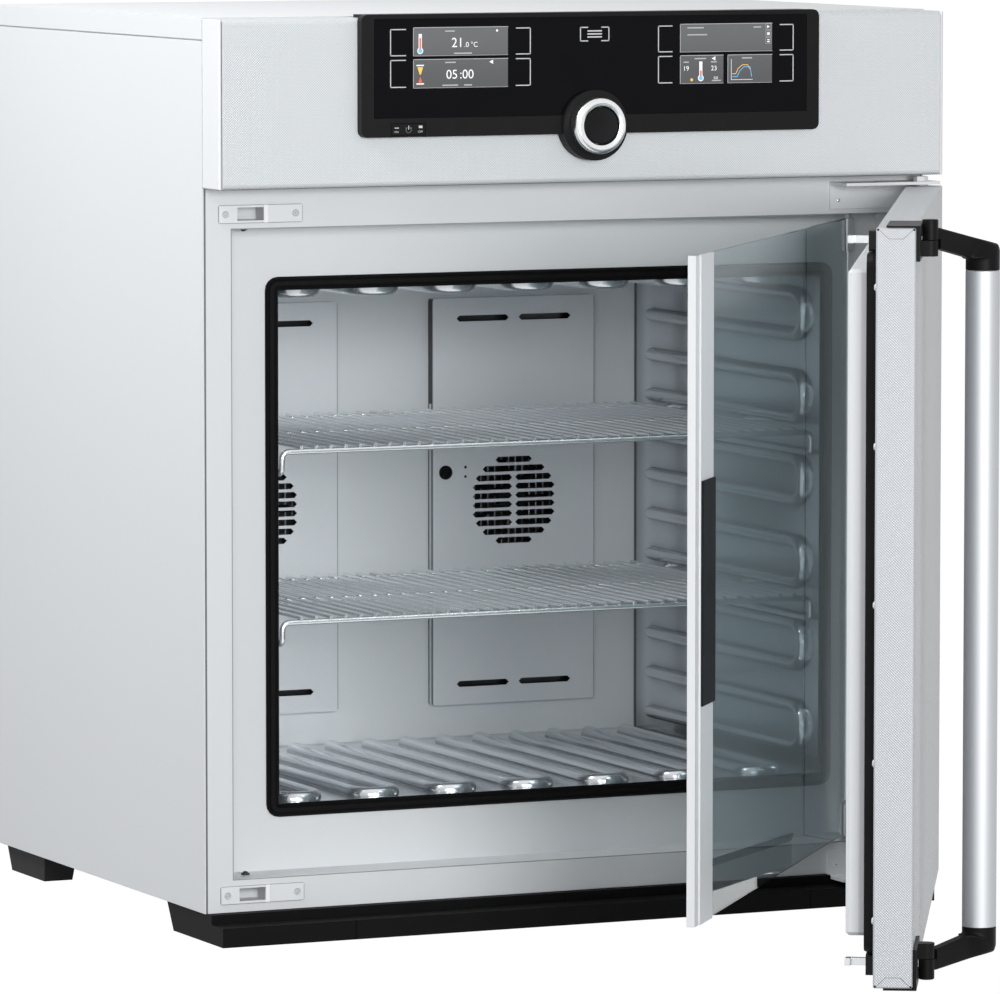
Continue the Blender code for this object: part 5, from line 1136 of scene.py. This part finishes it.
HUB_CLOSED = (-0.326, -0.07795)
HUB_PROFILE = [(0.0033, 0.0), (0.0066, 0.0), (0.0070, 0.0004), (0.0070, 0.0172), (0.0062, 0.0180),
               (0.0, 0.0180), (0.0, 0.0120), (0.0033, 0.0120), (0.0033, 0.0)]
ARM_HALF = 0.0055
GRIP_RADIUS = 0.015
ARM_HEIGHT = 0.0185
ROOT_REACH = 0.0078
MIDDLE_REACH = 0.045
CROWN_DEPTH, CROWN_BEND = 0.0180, 0.0055
THROAT_FALL, THROAT_LIMIT, THROAT_BEND = 0.0106, 0.0365, 0.003
NECK_DEPTH = 0.0412
SECTION_SIDES = 36
FLAT_STEPS, BLEND_STEPS = 9, 11
HUB_EDGE = 0.0040
hub_place = Vector(door_spot(*HUB_CLOSED, 0.0))
arm_run = Vector((tube_place.x - hub_place.x, tube_place.y - hub_place.y, 0.0))
ARM_REACH = arm_run.length
arm_run.normalize()
arm_side = Vector((-arm_run.y, arm_run.x, 0.0))


def between(first, last, steps):
    """Points from just after the first to the last, evenly spaced."""
    return [tuple(a + (b - a) * step / steps for a, b in zip(first, last)) for step in range(1, steps + 1)]


def arm_edges(root):
    """The arm's outer and inner edge, as reach from the hub and depth below the door's end."""
    elbow, neck = ARM_REACH + GRIP_RADIUS, ARM_REACH - GRIP_RADIUS
    throat = min(root + ARM_HEIGHT + THROAT_FALL, THROAT_LIMIT)
    edges = []
    for start, depth, end, bend, aim in (
            (root, CROWN_DEPTH, elbow, CROWN_BEND, elbow - CROWN_BEND),
            (root + ARM_HEIGHT, throat, neck, THROAT_BEND, neck)):
        corner = (end - bend, depth)
        middle = (MIDDLE_REACH, start + (depth - start) * (MIDDLE_REACH - ROOT_REACH) / (aim - ROOT_REACH))
        edge = [(ROOT_REACH, start)]
        edge += between(edge[0], middle, 8) + between(middle, corner, 8)
        edge += [(corner[0] + bend * math.sin(turn), depth + bend * (1 - math.cos(turn)))
                 for turn in (math.radians(15 * step) for step in range(1, 7))]
        edges.append(edge + between(edge[-1], (end, NECK_DEPTH), 6))
    return edges


def add_bar(work, outer, inner, halves, squareness, door_end, up):
    """A bar with a rounded rectangular section between two edges, turning to round at the neck."""
    rows = []
    for index, (top, bottom) in enumerate(zip(outer, inner)):
        middle = Vector(((top[0] + bottom[0]) / 2, (top[1] + bottom[1]) / 2))
        reach = Vector(((top[0] - bottom[0]) / 2, (top[1] - bottom[1]) / 2))
        power = 2.0 / squareness[index]
        row = []
        for step in range(SECTION_SIDES):
            turn = 2 * math.pi * step / SECTION_SIDES
            wide = math.copysign(abs(math.cos(turn)) ** power, math.cos(turn)) * halves[index]
            high = math.copysign(abs(math.sin(turn)) ** power, math.sin(turn))
            spot = middle + reach * high
            place = hub_place + arm_run * spot.x + arm_side * wide
            row.append(work.verts.new((place.x, place.y, door_end - up * spot.y)))
        rows.append(row)
    join_all(work, rows)
    work.faces.new(rows[0][::-1])
    work.faces.new(rows[-1])


for side, door_end, up, root, mouth in (("upper", 0.6869, 1, 0.0024, 0.6740),
                                        ("lower", 0.0275, -1, 0.0093, 0.0473)):
    outer, inner = arm_edges(root)
    shares = [min(1.0, max(0.0, (index - FLAT_STEPS) / BLEND_STEPS)) for index in range(len(outer))]
    shares = [share * share * (3 - 2 * share) for share in shares]
    halves = [ARM_HALF + (GRIP_RADIUS - ARM_HALF) * share for share in shares]
    squareness = [7.0 - 5.0 * share for share in shares]
    work = bmesh.new()
    add_bar(work, outer, inner, halves, squareness, door_end, up)
    hub_end = up * (door_end - mouth) - 0.0003
    add_bar(work, *[[(reach, depth) for reach in (HUB_EDGE, ROOT_REACH + 0.001)]
                    for depth in (root + 0.0002, hub_end)],
            [ARM_HALF - 0.0001] * 2, [7.0] * 2, door_end, up)
    add_turned(work, HUB_PROFILE, (hub_place.x, hub_place.y, mouth), (0, 0, up), 64)
    bmesh.ops.remove_doubles(work, verts=work.verts, dist=0.0000005)
    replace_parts(finished(work, side + "_cranked_arm", "handle", arm_plastic, 38.0),
                side + "_handle_arm")

hook_metal = Finish("hook_metal", (0.72, 0.74, 0.76), 0.25, 0.9)
hook_scuff = hook_metal.noise(420.0, 3.0)
hook_metal.feed("Roughness", hook_scuff * 0.18 + 0.16)
hook_metal.feed("Base Color", hook_metal.tint(0.04, hook_scuff))
hook_metal.relief(hook_scuff, 0.000008, 0.0010)
hook_metal.dress("upper_hook", "lower_hook")


# Mains inlet. A black panel socket with three flat pins, screwed to the rear panel low on the
# left as seen from the front.
inlet_plastic = moulded_black("inlet_plastic", (0.016, 0.016, 0.017), 0.4)
inlet_plastic.dress("mains_inlet")
